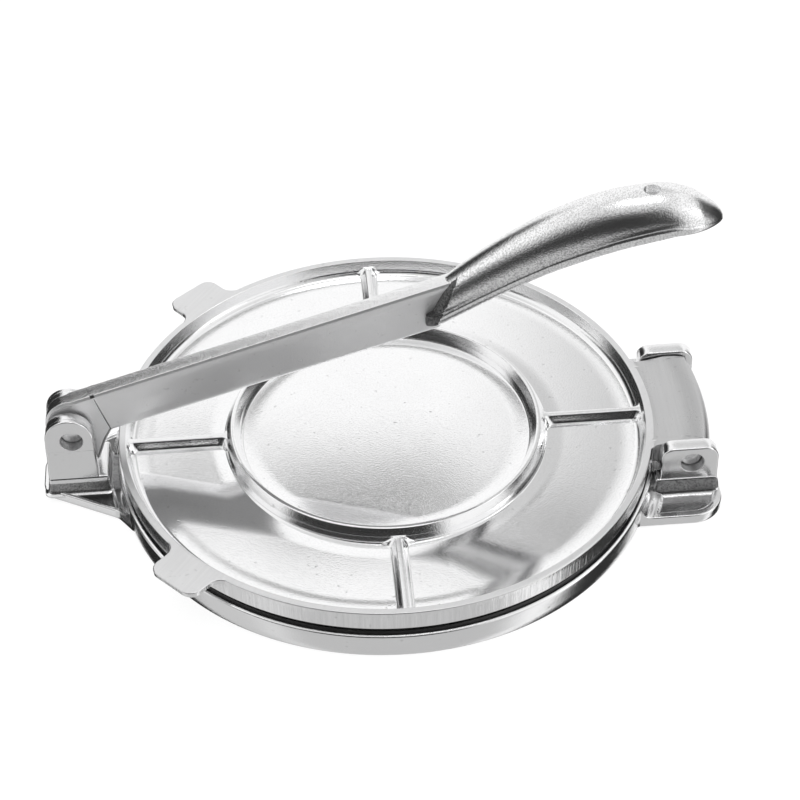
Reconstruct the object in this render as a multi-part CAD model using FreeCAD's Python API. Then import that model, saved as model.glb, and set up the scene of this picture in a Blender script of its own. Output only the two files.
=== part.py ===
import FreeCAD, Part

import math
import os

# Cast aluminium tortilla press, drawn closed. Millimetres, +Z up, X from the lever's pivot to the hinge.
# The origin lies on the table under the centre of the round plates.

Vector = FreeCAD.Vector
UP = Vector(0, 0, 1)
ORIGIN = Vector(0, 0, 0)

# Shared values
tiny = 0.0001                    # corners closer together than this need no straight run between them
overrun = 2.0                    # how far a cut or a buried root reaches past the face that it crosses
plate_gap = 0.4                  # between the two pressing faces when the press is closed
running_clearance = 0.08         # radial play of the two pivots on their pins
pin_recess = 1.5                 # how far each pin's end lies inside the outer face of its ear

# Round plates
rim_radius = 100.0               # outer radius of the top plate's rim at its crest
bed_ledge = 1.0                  # the bed stands out this far beyond the rim
bed_draft = 0.6                  # the bed's wall draws in this far at the foot

# Base plate: the round bed
base_height = 10.0
base_top_radius = rim_radius + bed_ledge
base_foot_radius = base_top_radius - bed_draft
base_edge_round = 0.6
base_floor = 4.6                 # thickness of the bed over the hollow underside
skirt_wall = 3.6
skirt_inner_round = 2.0
under_ring_inset = 42.4          # from the bed's foot to the middle of the stiffening ring below it
under_ring_wall = 3.0
under_rib_wall = 3.0
under_rib_lift = 1.0             # ring and ribs stay this far above the table
under_rib_count = 8

# Base plate: flange and block under the hinge
flange_height = 4.0
wall_fillet = 4.6                # concave fillet from each flange up to the wall of the bed
pocket_depth = 0.8               # shallow pocket cast in the top of each flange
hinge_flange_reach = 21.3        # from the bed's edge to the flange's far edge
hinge_flange_half_width = 45.5
hinge_flange_corner = 12.0
hinge_flange_border = 2.7
hinge_block_height = 9.4
hinge_block_root = 5.0           # the block starts this far inside the bed's edge
hinge_block_ledge = 0.7          # how far the block stands out beyond the ears' outer faces
hinge_block_foot_round = 1.3
hinge_block_edge_round = 0.7

# Base plate: the two ears of the hinge
hinge_reach = 10.3               # from the bed's edge to the hinge pin's axis
hinge_z = 16.6
hinge_pin_radius = 4.3
hinge_ear_thickness = 5.9
hinge_ear_side_gap = 0.6         # between the tongue and each ear
hinge_ear_near = 11.5            # each ear runs from this far before the pin's axis
hinge_ear_far = 9.7              # to this far behind it
hinge_ear_top = 23.5
hinge_ear_inner_corner = 4.5
hinge_ear_outer_corner = 5.0

# Base plate: flange, block and ears of the lever's clevis
clevis_flange_reach = 28.3       # from the bed's edge to the flange's nose
clevis_nose_half_width = 7.6
clevis_nose_round = 4.7
clevis_flank_stop = 0.5          # the slanting flank turns to the bed this far outside the bed's edge
clevis_flank_half_width = 22.7
clevis_flank_round = 6.0
clevis_root_depth = 0.3          # the flank's last run dives this far into the wall of the bed
clevis_root_angle = 18.6         # degrees from the centre line
clevis_flange_border = 1.2
clevis_block_height = 9.6
clevis_block_gap = 3.0           # from the bed's edge to the block
clevis_block_length = 23.0
clevis_block_ledge = 1.6
lever_reach = 15.4               # from the bed's edge to the lever pin's axis
lever_z = 28.3
lever_pin_radius = 4.25
clevis_ear_thickness = 5.6
clevis_ear_side_gap = 0.5        # between the lever and each ear
clevis_ear_round = 8.7           # radius of the ears' rounded tops
clevis_ear_arc_back = 1.0        # centre of that round, outward from the pin and above it
clevis_ear_arc_rise = 0.9
clevis_ear_flare_out = 0.8       # extra reach at the foot of each ear, outward and inward
clevis_ear_flare_in = 1.1
stop_gap = 0.3                   # between the lever's heel and the seat that stops it
stop_near = 8.2                  # the seat between the ears, from before the pin's axis
stop_far = 7.6                   # to behind it

# Top plate
step_height = 2.2                # the pressing disc stands this far below the rim's wall
press_inset = 2.2                # the disc's edge, inside the rim's outer radius
press_edge_round = 0.5
rim_draft = 0.5
rim_top = 20.5
rim_width = 2.6
rim_inner_slope = 1.7            # how much further in the wall stands at the floor than at the crest
rim_edge_round = 0.5
plate_floor = 14.8
floor_round = 3.0
ring_outer_radius = 59.2
ring_width = 2.6
ring_slope = 1.9
ring_floor_round = 2.6
rib_count = 4
rib_crest_width = 2.3
rib_foot_width = 5.3
rib_height = 3.3
rib_root_depth = 1.6             # the ribs reach this far into the floor, the ring and the rim
rib_flare_shares = [(0.0, 1.75), (0.05, 1.38), (0.10, 1.16), (0.17, 1.03), (0.24, 1.0),
                    (0.76, 1.0), (0.83, 1.03), (0.90, 1.16), (0.95, 1.38), (1.0, 1.75)]

# Top plate: the two thumb tabs
tab_angles = (-136.4, 130.6)     # degrees round the plate
tab_length = 12.5                # beyond the rim
tab_half_width = 10.9
tab_thickness = 2.3
tab_corner = 4.5
tab_root_round = 5.0
tab_root_spread = 6.3            # the root's fillets end this far beyond each side

# Top plate: the tongue that turns on the hinge pin
tongue_half_width = 24.1
tongue_foot = 9.8
tongue_crown = 22.5
tongue_rise_gap = 1.5            # the top starts to rise this far outside the rim
tongue_heel_gap = 3.4            # the thick barrel starts this far outside the rim, clear of the bed's edge
tongue_heel_slope = 1.0
tongue_crease_reach = 4.2        # the next four are measured from the hinge pin's axis
tongue_toe_reach = 6.3
tongue_shoulder_reach = 8.6
tongue_edge_reach = 10.0
tongue_shoulder_drop = 0.6
tongue_edge_z = 18.2
tongue_root_round = 3.0
tongue_root_spread = 4.2
tongue_rise_round = 4.0
tongue_crown_round = 3.0
tongue_edge_round = 2.5
tongue_toe_round = 3.2
tongue_heel_round = 0.6

# Lever: the arm
lever_slope = 17.7               # degrees above level at rest
arm_thickness = 7.0
arm_above = 12.5                 # top edge, square to the arm, from the pin's axis
arm_below = 5.3
arm_root_depth = 5.0             # the arm runs this far past the handle's end face
arm_end_back = 8.5               # the rounded end behind the pin
arm_end_round = 9.9
arm_heel_back = 7.0
arm_heel_round = 6.0
heel_drop = 16.0                 # the stop face below the pin's axis
heel_near = 3.4
heel_far = 8.6
heel_round = 1.3
lobe_out = 11.9
lobe_drop = 6.3
lobe_round = 6.0
lobe_root = 14.0
lobe_root_round = 3.0
recess_depth = 0.65              # shallow relief round the pivot on both sides
recess_reach = 13.8
recess_lip = 1.1

# Lever: the hollow handle
handle_reach = 130.4             # from the pivot to the first section, before the slanting face is cut
handle_length = 107.3
handle_edge_drop = 2.316         # the lower edge at the first section, below the arm's line through the pivot
handle_edge_rise = 39.8
handle_half_width = 12.4
handle_dome = 17.6               # largest height of the crown over the lower edge
handle_wall = 2.8
handle_face_inset = 2.9          # a point on the slanting end face, past the first section's lower edge
handle_face_rise = 6.4           # and above it
handle_face_tilt = 24.0          # degrees from upright
handle_skirt = 1.0               # upright strip above the lower edge, before the dome curves in
hang_hole_inset = 26.0           # from the handle's tip
hang_hole_radius = 3.0
web_thickness = 4.0
web_lift = 2.0
# Each row: place along the handle, height of the lower edge, half width and dome height, all as shares
handle_shares = [
    (0.000, 0.000, 0.600, 0.700),
    (0.060, 0.098, 0.645, 0.735),
    (0.103, 0.171, 0.677, 0.770),
    (0.212, 0.359, 0.774, 0.860),
    (0.316, 0.525, 0.847, 0.917),
    (0.423, 0.676, 0.911, 0.940),
    (0.527, 0.789, 0.960, 0.938),
    (0.632, 0.889, 1.000, 0.889),
    (0.700, 0.935, 1.000, 0.843),
    (0.772, 0.972, 0.984, 0.790),
    (0.843, 1.000, 0.935, 0.671),
    (0.901, 1.000, 0.815, 0.500),
    (0.945, 0.992, 0.653, 0.361),
    (0.978, 0.982, 0.437, 0.233),
    (0.996, 0.976, 0.195, 0.125),
]

# Pins
pin_chamfer = 0.5

# Values worked out from the ones above
press_face = base_height + plate_gap
press_radius = rim_radius - press_inset
rim_foot = press_face + step_height
rim_foot_radius = rim_radius - rim_draft
hinge_x = base_top_radius + hinge_reach
hinge_flange_end = base_top_radius + hinge_flange_reach
hinge_block_start = base_top_radius - hinge_block_root
hinge_ear_start = hinge_x - hinge_ear_near
hinge_ear_end = hinge_x + hinge_ear_far
lever_x = -base_top_radius - lever_reach
clevis_flange_end = base_top_radius + clevis_flange_reach
clevis_flank_end = base_top_radius + clevis_flank_stop
clevis_root_radius = base_foot_radius - clevis_root_depth
clevis_block_near = base_top_radius + clevis_block_gap
clevis_block_far = clevis_block_near + clevis_block_length
tongue_rise_start = rim_radius + tongue_rise_gap
tongue_heel = rim_radius + tongue_heel_gap
tongue_crease = hinge_x + tongue_crease_reach
tongue_toe = hinge_x + tongue_toe_reach
tongue_shoulder = hinge_x + tongue_shoulder_reach
tongue_reach = hinge_x + tongue_edge_reach
tab_reach = rim_radius + tab_length
handle_start = lever_x + handle_reach
handle_tip = handle_start + handle_length
handle_edge_low = lever_z + handle_reach * math.tan(math.radians(lever_slope)) - handle_edge_drop
handle_face_x = handle_start + handle_face_inset
handle_face_z = handle_edge_low + handle_face_rise
hang_hole_x = handle_tip - hang_hole_inset
hinge_ear_inner = tongue_half_width + hinge_ear_side_gap
hinge_ear_outer = hinge_ear_inner + hinge_ear_thickness
hinge_block_half_width = hinge_ear_outer + hinge_block_ledge
clevis_ear_inner = arm_thickness / 2 + clevis_ear_side_gap
clevis_ear_outer = clevis_ear_inner + clevis_ear_thickness
clevis_block_half_width = clevis_ear_outer + clevis_block_ledge
stop_top = lever_z - heel_drop - stop_gap
skirt_inner = base_foot_radius - skirt_wall
under_ring_radius = base_foot_radius - under_ring_inset
under_face = base_height - base_floor


def in_section(a, b):
    """Point of an upright drawing in the plane of X and Z."""
    return Vector(a, 0, b)


def in_plan(a, b):
    """Point of a drawing laid on the table."""
    return Vector(a, b, 0)


def rounded_face(corners, place):
    """Flat face whose outline runs straight from corner to corner, each corner (a, b, radius) rounded."""
    points = [place(a, b) for a, b, radius in corners]
    edges = []
    last = None
    first = None
    for i, (a, b, radius) in enumerate(corners):
        here = points[i]
        back = (points[i - 1] - here).normalize()
        ahead = (points[(i + 1) % len(points)] - here).normalize()
        entry = leave = here
        arc = None
        if radius > 0:
            half = back.getAngle(ahead) / 2
            middle = (back + ahead).normalize()
            entry = here + back * (radius / math.tan(half))
            leave = here + ahead * (radius / math.tan(half))
            nearest = here + middle * (radius / math.sin(half) - radius)
            arc = Part.Arc(entry, nearest, leave).toShape()
        if last is None:
            first = entry
        elif not last.isEqual(entry, tiny):
            edges.append(Part.LineSegment(last, entry).toShape())
        if arc:
            edges.append(arc)
        last = leave
    if not last.isEqual(first, tiny):
        edges.append(Part.LineSegment(last, first).toShape())
    return Part.Face(Part.Wire(edges))


def revolved(corners):
    """Body turned about the upright axis from a section of (radius, height, rounding) corners."""
    return rounded_face(corners, in_section).revolve(ORIGIN, UP, 360)


def upright(corners, low, high):
    """Plan outline raised from one height to another."""
    face = rounded_face(corners, in_plan)
    face.translate(Vector(0, 0, low))
    return face.extrude(Vector(0, 0, high - low))


def across(corners, near, far):
    """Upright outline in X and Z carried along Y from one side to the other."""
    face = rounded_face(corners, in_section)
    face.translate(Vector(0, near, 0))
    return face.extrude(Vector(0, far - near, 0))


def column(radius, low, high):
    """Upright round column on the plates' axis."""
    return Part.makeCylinder(radius, high - low, Vector(0, 0, low))


def cross_bar(x, z, radius, half_length):
    """Round bar along Y, centred on the middle plane."""
    return Part.makeCylinder(radius, 2 * half_length, Vector(x, -half_length, z), Vector(0, 1, 0))


def one_solid(shape):
    """The single solid of a finished sub-part."""
    tidy = shape.removeSplitter()
    if len(tidy.Solids) != 1:
        raise ValueError("a sub-part came out as %d solids" % len(tidy.Solids))
    return tidy.Solids[0]


def base_bed():
    """Round bed with a hollow underside, a stiffening ring and radial ribs."""
    bed = revolved([(0, base_height, 0), (base_top_radius, base_height, base_edge_round),
                    (base_foot_radius, 0, base_edge_round), (skirt_inner, 0, base_edge_round),
                    (skirt_inner, under_face, skirt_inner_round), (0, under_face, 0)])
    half = under_ring_wall / 2
    top = under_face + base_floor / 2
    ring = column(under_ring_radius + half, under_rib_lift, top)
    ring = ring.cut(column(under_ring_radius - half, under_rib_lift, top))
    pieces = [ring]
    length = skirt_inner + skirt_wall / 2 - under_ring_radius
    for i in range(under_rib_count):
        rib = Part.makeBox(length, under_rib_wall, top - under_rib_lift,
                           Vector(under_ring_radius, -under_rib_wall / 2, under_rib_lift))
        rib.rotate(ORIGIN, UP, 360 * i / under_rib_count)
        pieces.append(rib)
    return bed.fuse(pieces)


def wall_fillet_ring():
    """Full ring of the concave fillet between a flange and the wall of the bed."""
    inner = base_foot_radius - skirt_wall / 2
    face = base_top_radius - base_edge_round / 2
    low = flange_height / 2
    return revolved([(inner, low, 0), (face + wall_fillet, low, 0), (face + wall_fillet, flange_height, 0),
                     (face, flange_height, wall_fillet - base_edge_round / 2),
                     (face, flange_height + wall_fillet, 0), (inner, flange_height + wall_fillet, 0)])


def hinge_flange_corners(inset):
    """Plan of the flange under the hinge, drawn in by the inset."""
    end = hinge_flange_end - inset
    side = hinge_flange_half_width - inset
    corner = hinge_flange_corner - inset
    start = hinge_flange_end - hinge_flange_half_width
    return [(start, -side, 0), (end, -side, corner), (end, side, corner), (start, side, 0)]


def clevis_flange_corners(inset):
    """Plan of the flange under the clevis, drawn in by the inset."""
    flank = math.atan2(clevis_flank_half_width - clevis_nose_half_width, clevis_flange_end - clevis_flank_end)
    end = clevis_flange_end - inset
    nose = clevis_nose_half_width - inset * math.tan((math.pi / 2 - flank) / 2)
    wide = clevis_flank_half_width - inset
    root = clevis_root_radius * math.cos(math.radians(clevis_root_angle))
    root_side = clevis_root_radius * math.sin(math.radians(clevis_root_angle)) - inset
    inside = skirt_inner * math.cos(math.radians(clevis_root_angle))
    half = [(-end, nose, clevis_nose_round - inset), (-clevis_flank_end, wide, clevis_flank_round),
            (-root, root_side, 0), (-inside, root_side, 0)]
    return [(a, -b, r) for a, b, r in half] + [(a, b, r) for a, b, r in reversed(half)]


def flange(corners_at, border, keep_clear):
    """Low flange with its fillet to the bed and the shallow pocket in its top."""
    slab = upright(corners_at(0), 0, flange_height)
    reach = upright(corners_at(0), 0, flange_height + 2 * wall_fillet)
    pocket = upright(corners_at(border), flange_height - pocket_depth, flange_height + overrun)
    pocket = pocket.cut([column(base_top_radius + wall_fillet, 0, base_height), keep_clear])
    body = slab.cut(pocket).fuse(wall_fillet_ring().common(reach))
    return body.cut(column(skirt_inner + skirt_wall / 2, -overrun, base_height))


def hinge_block():
    """Raised block under the hinge's ears, open between them so that the tongue can turn."""
    low = flange_height - hinge_block_foot_round
    side = hinge_block_half_width
    foot = side + hinge_block_foot_round
    half = [(foot, low, 0), (foot, flange_height, 0), (side, flange_height, hinge_block_foot_round),
            (side, hinge_block_height, hinge_block_edge_round)]
    corners = [(-a, b, r) for a, b, r in half] + [(a, b, r) for a, b, r in reversed(half)]
    face = rounded_face(corners, lambda a, b: Vector(hinge_block_start, a, b))
    block = face.extrude(Vector(hinge_ear_end - hinge_block_start, 0, 0))
    start = hinge_block_start - overrun
    trough = Part.makeBox(hinge_ear_end + overrun - start, 2 * hinge_ear_inner, hinge_block_height,
                          Vector(start, -hinge_ear_inner, flange_height))
    return block.cut(trough).cut(column(skirt_inner + skirt_wall / 2, -overrun, base_height + overrun))


def hinge_ears():
    """The two upright ears that hold the hinge pin."""
    low = flange_height / 2
    outline = [(hinge_ear_start, low, 0), (hinge_ear_end, low, 0),
               (hinge_ear_end, hinge_ear_top, hinge_ear_outer_corner),
               (hinge_ear_start, hinge_ear_top, hinge_ear_inner_corner)]
    return [across(outline, hinge_ear_inner, hinge_ear_outer),
            across(outline, -hinge_ear_outer, -hinge_ear_inner)]


def clevis_block():
    """Raised block under the clevis."""
    corner = clevis_block_ledge
    side = clevis_block_half_width
    outline = [(-clevis_block_far, -side, corner), (-clevis_block_near, -side, corner),
               (-clevis_block_near, side, corner), (-clevis_block_far, side, corner)]
    return upright(outline, flange_height / 2, clevis_block_height)


def clevis_ear_face():
    """Side outline of one clevis ear: a round top on flaring sides."""
    x = lever_x - clevis_ear_arc_back
    z = lever_z + clevis_ear_arc_rise
    low = flange_height / 2
    out_top = Vector(x - clevis_ear_round, 0, z)
    in_top = Vector(x + clevis_ear_round, 0, z)
    out_foot = Vector(x - clevis_ear_round - clevis_ear_flare_out, 0, low)
    in_foot = Vector(x + clevis_ear_round + clevis_ear_flare_in, 0, low)
    edges = [Part.LineSegment(out_foot, out_top).toShape(),
             Part.Arc(out_top, Vector(x, 0, z + clevis_ear_round), in_top).toShape(),
             Part.LineSegment(in_top, in_foot).toShape(), Part.LineSegment(in_foot, out_foot).toShape()]
    return Part.Face(Part.Wire(edges))


def clevis_ears():
    """The two ears that hold the lever's pin, and the seat between them that stops the lever's heel."""
    ears = []
    for near, far in ((clevis_ear_inner, clevis_ear_outer), (-clevis_ear_outer, -clevis_ear_inner)):
        face = clevis_ear_face()
        face.translate(Vector(0, near, 0))
        ears.append(face.extrude(Vector(0, far - near, 0)))
    width = clevis_ear_inner + clevis_ear_thickness / 2
    seat = Part.makeBox(stop_near + stop_far, 2 * width, stop_top - flange_height,
                        Vector(lever_x - stop_far, -width, flange_height))
    return ears + [seat]


def base_plate():
    """Bed, flanges, blocks and ears in one casting, with a bore for each pin."""
    around = hinge_block_foot_round
    side = hinge_block_half_width + around
    hinge_clear = Part.makeBox(hinge_flange_end - hinge_block_start, 2 * side, base_height,
                               Vector(hinge_block_start, -side, 0))
    ledge = clevis_block_ledge
    side = clevis_block_half_width + ledge
    clevis_clear = Part.makeBox(clevis_block_far - clevis_block_near + 2 * ledge, 2 * side, base_height,
                                Vector(-clevis_block_far - ledge, -side, 0))
    body = base_bed().fuse([flange(hinge_flange_corners, hinge_flange_border, hinge_clear),
                            flange(clevis_flange_corners, clevis_flange_border, clevis_clear),
                            hinge_block(), clevis_block()] + hinge_ears() + clevis_ears())
    body = body.cut([cross_bar(hinge_x, hinge_z, hinge_pin_radius, hinge_ear_outer + overrun),
                     cross_bar(lever_x, lever_z, lever_pin_radius, clevis_ear_outer + overrun)])
    return one_solid(body)


def plate_disc():
    """Pressing disc with its raised rim and inner ring."""
    rim_inner = rim_radius - rim_width
    ring_inner = ring_outer_radius - ring_width
    return revolved([(0, press_face, 0), (press_radius, press_face, press_edge_round),
                     (press_radius, rim_foot, 0), (rim_foot_radius, rim_foot, rim_edge_round),
                     (rim_radius, rim_top, rim_edge_round), (rim_inner, rim_top, rim_edge_round),
                     (rim_inner - rim_inner_slope, plate_floor, floor_round),
                     (ring_outer_radius + ring_slope, plate_floor, ring_floor_round),
                     (ring_outer_radius, rim_top, rim_edge_round), (ring_inner, rim_top, rim_edge_round),
                     (ring_inner - ring_slope, plate_floor, ring_floor_round), (0, plate_floor, 0)])


def rib_section(x, share):
    """Closed outline of a rib where it crosses the given distance, widened by a share."""
    foot = rib_foot_width / 2 * share
    crest = rib_crest_width / 2 * share
    low = plate_floor - rib_root_depth
    top = plate_floor + rib_height
    points = [(-foot, low), (foot, low), (foot, plate_floor), (crest, top), (-crest, top),
              (-foot, plate_floor)]
    corners = [Vector(x, y, z) for y, z in points]
    return Part.makePolygon(corners + corners[:1])


def plate_rib(angle):
    """One rib from the ring to the rim, flared at both ends."""
    start = ring_outer_radius - rib_root_depth / 2
    end = rim_radius - rim_width + rib_root_depth / 2
    sections = [rib_section(start + place * (end - start), width) for place, width in rib_flare_shares]
    rib = Part.makeLoft(sections, True, True)
    rib.rotate(ORIGIN, UP, angle)
    return rib


def thumb_tab(angle):
    """Flat tab on the rim, for lifting the plate."""
    inside = rim_radius - rim_width
    spread = tab_half_width + tab_root_spread
    root = math.sqrt(rim_radius ** 2 - spread ** 2)
    side = math.sqrt(rim_radius ** 2 - tab_half_width ** 2)
    inner = math.sqrt(inside ** 2 - spread ** 2)
    half = [(inner, spread, 0), (root, spread, 0), (side, tab_half_width, tab_root_round),
            (tab_reach, tab_half_width, tab_corner)]
    corners = [(a, -b, r) for a, b, r in half] + [(a, b, r) for a, b, r in reversed(half)]
    tab = upright(corners, rim_top - tab_thickness, rim_top).cut(column(inside, 0, rim_top + overrun))
    tab.rotate(ORIGIN, UP, angle)
    return tab


def hinge_tongue():
    """Thick tongue that reaches between the hinge's ears, rounded off about the plate's centre."""
    root = rim_radius - rim_width / 2
    section = [(root, rim_foot, 0), (tongue_heel - tongue_heel_slope, rim_foot, 0),
               (tongue_heel, tongue_foot, tongue_heel_round), (tongue_toe, tongue_foot, tongue_toe_round),
               (tongue_reach, tongue_edge_z, tongue_edge_round),
               (tongue_shoulder, tongue_crown - tongue_shoulder_drop, tongue_edge_round),
               (tongue_crease, tongue_crown, 0), (hinge_x, tongue_crown, tongue_crown_round),
               (tongue_rise_start, rim_top, tongue_rise_round), (root, rim_top, 0)]
    spread = tongue_half_width + tongue_root_spread
    foot = math.sqrt(rim_radius ** 2 - spread ** 2)
    side = math.sqrt(rim_radius ** 2 - tongue_half_width ** 2)
    start = foot - rim_width - rim_inner_slope
    half = [(start, spread, 0), (foot, spread, 0), (side, tongue_half_width, tongue_root_round),
            (tongue_reach + overrun, tongue_half_width, 0)]
    corners = [(a, -b, r) for a, b, r in half] + [(a, b, r) for a, b, r in reversed(half)]
    return revolved(section).common(upright(corners, tongue_foot - overrun, tongue_crown + overrun))


def top_plate():
    """Upper pressing plate with its ribs, tabs and hinge tongue."""
    ribs = [plate_rib(360 * i / rib_count) for i in range(rib_count)]
    tabs = [thumb_tab(angle) for angle in tab_angles]
    body = plate_disc().fuse(ribs + tabs + [hinge_tongue()])
    bore = cross_bar(hinge_x, hinge_z, hinge_pin_radius + running_clearance, tongue_half_width + overrun)
    return one_solid(body.cut(bore))


def along_arm(along, above):
    """Upright drawing point at a distance along the sloping arm and square above the pin's axis."""
    slope = math.radians(lever_slope)
    return (lever_x + along * math.cos(slope) - above * math.sin(slope),
            lever_z + along * math.sin(slope) + above * math.cos(slope))


def behind_face(shift):
    """Large block behind the slanting end face, moved along the handle by the shift."""
    size = 2 * (handle_tip - lever_x)
    block = Part.makeBox(size, size, size, Vector(-size, -size / 2, -size / 2))
    block.rotate(ORIGIN, Vector(0, 1, 0), handle_face_tilt)
    block.translate(Vector(handle_face_x + shift, 0, handle_face_z))
    return block


def arm():
    """Flat arm with its rounded pivot end and the heel that meets the stop."""
    reach = (handle_face_x - lever_x + arm_above + arm_root_depth) / math.cos(math.radians(lever_slope))
    outline = [along_arm(reach, arm_above) + (0,), along_arm(-arm_end_back, arm_above) + (arm_end_round,),
               along_arm(-arm_end_back, -arm_heel_back) + (arm_heel_round,),
               (lever_x + heel_near, lever_z - heel_drop, heel_round),
               (lever_x + heel_far, lever_z - heel_drop, heel_round),
               (lever_x + lobe_out, lever_z - lobe_drop, lobe_round),
               along_arm(lobe_root, -arm_below) + (lobe_root_round,), along_arm(reach, -arm_below) + (0,)]
    return across(outline, -arm_thickness / 2, arm_thickness / 2).common(behind_face(arm_root_depth))


def pivot_recess(side):
    """Shallow relief cut into one side of the arm round the pivot."""
    back = -arm_end_back + recess_lip
    outline = [along_arm(recess_reach, arm_above - recess_lip) + (0,),
               along_arm(back, arm_above - recess_lip) + (arm_end_round - recess_lip,),
               along_arm(back, -heel_drop - lobe_drop) + (0,),
               along_arm(recess_reach, -heel_drop - lobe_drop) + (0,)]
    outer = side * (arm_thickness / 2 + overrun)
    inner = side * (arm_thickness / 2 - recess_depth)
    return across(outline, min(outer, inner), max(outer, inner))


def handle_section(row, inset):
    """Closed dome outline of the handle at one place, drawn in by the inset."""
    place, edge_share, width_share, dome_share = row
    x = handle_start + place * (handle_tip - handle_start)
    low = handle_edge_low + edge_share * handle_edge_rise
    wide = handle_half_width * width_share - inset
    spring = low + handle_skirt
    tall = handle_dome * dome_share - handle_skirt - inset
    bottom = low - inset
    left = Vector(x, -wide, spring)
    right = Vector(x, wide, spring)
    if wide > tall:
        oval = Part.Ellipse(right, Vector(x, 0, spring + tall), Vector(x, 0, spring))
    else:
        oval = Part.Ellipse(Vector(x, 0, spring + tall), left, Vector(x, 0, spring))
    start = oval.parameter(left)
    middle = oval.parameter(Vector(x, 0, spring + tall))
    end = oval.parameter(right)
    points = [oval.value(t) for t in dome_parameters(start, middle, end)]
    curve = Part.BSplineCurve()
    curve.interpolate(points)
    foot_left = Vector(x, -wide, bottom)
    foot_right = Vector(x, wide, bottom)
    return Part.Wire([Part.LineSegment(foot_left, left).toShape(), curve.toShape(),
                      Part.LineSegment(right, foot_right).toShape(),
                      Part.LineSegment(foot_right, foot_left).toShape()])


def dome_parameters(start, middle, end):
    """Even steps along an oval from its left end over its top to its right end."""
    turn = 2 * math.pi
    first = (middle - start + math.pi) % turn - math.pi
    second = (end - middle + math.pi) % turn - math.pi
    steps = 6
    return ([start + first * i / steps for i in range(steps)]
            + [middle + second * i / steps for i in range(steps + 1)])


def handle():
    """Domed handle, hollow beneath, with a closed slanting end face."""
    outer = Part.makeLoft([handle_section(row, 0) for row in handle_shares], True, False)
    room = [row for row in handle_shares if handle_half_width * row[2] > 2 * handle_wall
            and handle_dome * row[3] > 2 * handle_wall + handle_skirt]
    inner = Part.makeLoft([handle_section(row, handle_wall) for row in room], True, False)
    return outer.cut(behind_face(0)).cut(inner.cut(behind_face(handle_wall)))


def handle_web():
    """Upright web inside the handle that carries on from the arm."""
    low, high = [], []
    for place, edge_share, width_share, dome_share in handle_shares[1:7]:
        x = handle_start + place * (handle_tip - handle_start)
        edge = handle_edge_low + edge_share * handle_edge_rise
        low.append((x, edge + web_lift, 0))
        high.append((x, edge + handle_dome * dome_share - handle_wall / 2, 0))
    return across(low + high[::-1], -web_thickness / 2, web_thickness / 2)


def lever():
    """Arm and handle in one casting, with the pivot's bore and the hole for hanging."""
    body = arm().fuse([handle(), handle_web().cut(behind_face(handle_wall / 2))])
    body = body.cut([pivot_recess(1), pivot_recess(-1),
                     cross_bar(lever_x, lever_z, lever_pin_radius + running_clearance, arm_thickness)])
    crown = handle_edge_low + handle_edge_rise + handle_dome
    depth = 2 * handle_dome
    hole = Part.makeCylinder(hang_hole_radius, depth, Vector(hang_hole_x, 0, crown - depth))
    return one_solid(body.cut(hole))


def pin(x, z, radius, half_length):
    """Plain pin along Y with chamfered ends."""
    end = half_length - pin_chamfer
    tip = radius - pin_chamfer
    corners = [(0, -half_length, 0), (tip, -half_length, 0), (radius, -end, 0),
               (radius, end, 0), (tip, half_length, 0), (0, half_length, 0)]
    face = rounded_face(corners, lambda a, b: Vector(x + a, b, z))
    return one_solid(face.revolve(Vector(x, 0, z), Vector(0, 1, 0), 360))


def build():
    """Write every sub-part as its own STEP file."""
    os.makedirs("parts", exist_ok=True)
    pieces = {
        "base_plate": base_plate(),
        "top_plate": top_plate(),
        "lever": lever(),
        "hinge_pin": pin(hinge_x, hinge_z, hinge_pin_radius, hinge_ear_outer - pin_recess),
        "lever_pin": pin(lever_x, lever_z, lever_pin_radius, clevis_ear_outer - pin_recess),
    }
    for name, solid in pieces.items():
        if not solid.isValid():
            raise ValueError(name + " isn't a valid solid")
        box = solid.BoundBox
        solid.exportStep("parts/" + name + ".step")
        print("%-12s volume %9.0f  x %7.1f %7.1f  y %7.1f %7.1f  z %6.1f %6.1f"
              % (name, solid.Volume, box.XMin, box.XMax, box.YMin, box.YMax, box.ZMin, box.ZMax))


build()
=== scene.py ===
import logging
import math
from dataclasses import dataclass, field
from enum import Enum

import bmesh
import bpy
import numpy as np
from mathutils import Matrix, Vector


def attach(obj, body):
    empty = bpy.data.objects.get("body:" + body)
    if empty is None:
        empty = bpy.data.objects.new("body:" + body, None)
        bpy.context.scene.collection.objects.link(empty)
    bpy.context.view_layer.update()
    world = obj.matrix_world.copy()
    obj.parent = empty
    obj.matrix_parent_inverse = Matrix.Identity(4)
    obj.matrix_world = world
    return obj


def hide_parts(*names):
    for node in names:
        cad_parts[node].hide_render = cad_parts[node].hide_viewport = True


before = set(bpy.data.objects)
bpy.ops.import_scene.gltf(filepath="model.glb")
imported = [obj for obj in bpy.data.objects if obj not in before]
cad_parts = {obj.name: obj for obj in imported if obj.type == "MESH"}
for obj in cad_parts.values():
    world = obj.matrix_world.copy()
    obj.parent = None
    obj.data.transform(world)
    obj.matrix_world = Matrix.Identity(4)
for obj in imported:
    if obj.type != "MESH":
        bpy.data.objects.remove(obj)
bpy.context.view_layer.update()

LOG = logging.getLogger("press")
MM = 0.001
Array = np.ndarray
Point = tuple[float, float, float]
Piece = bpy.types.Object
Socket = bpy.types.NodeSocket
Tree = bpy.types.ShaderNodeTree
Value = Socket | float


class Body(Enum):
    """The rigid bodies that pieces ride on."""

    BASE = "base"
    PLATE = "upper_plate"
    LEVER = "lever"


class Slot(Enum):
    """The record's material slots."""

    ALUMINIUM = "cast_aluminium"
    STEEL = "pin_steel"


# ---- outlines and grids


def quarter(count: int) -> Array:
    """Evenly spaced angles from zero to a right angle."""
    return np.linspace(0, math.pi / 2, count)


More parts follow.
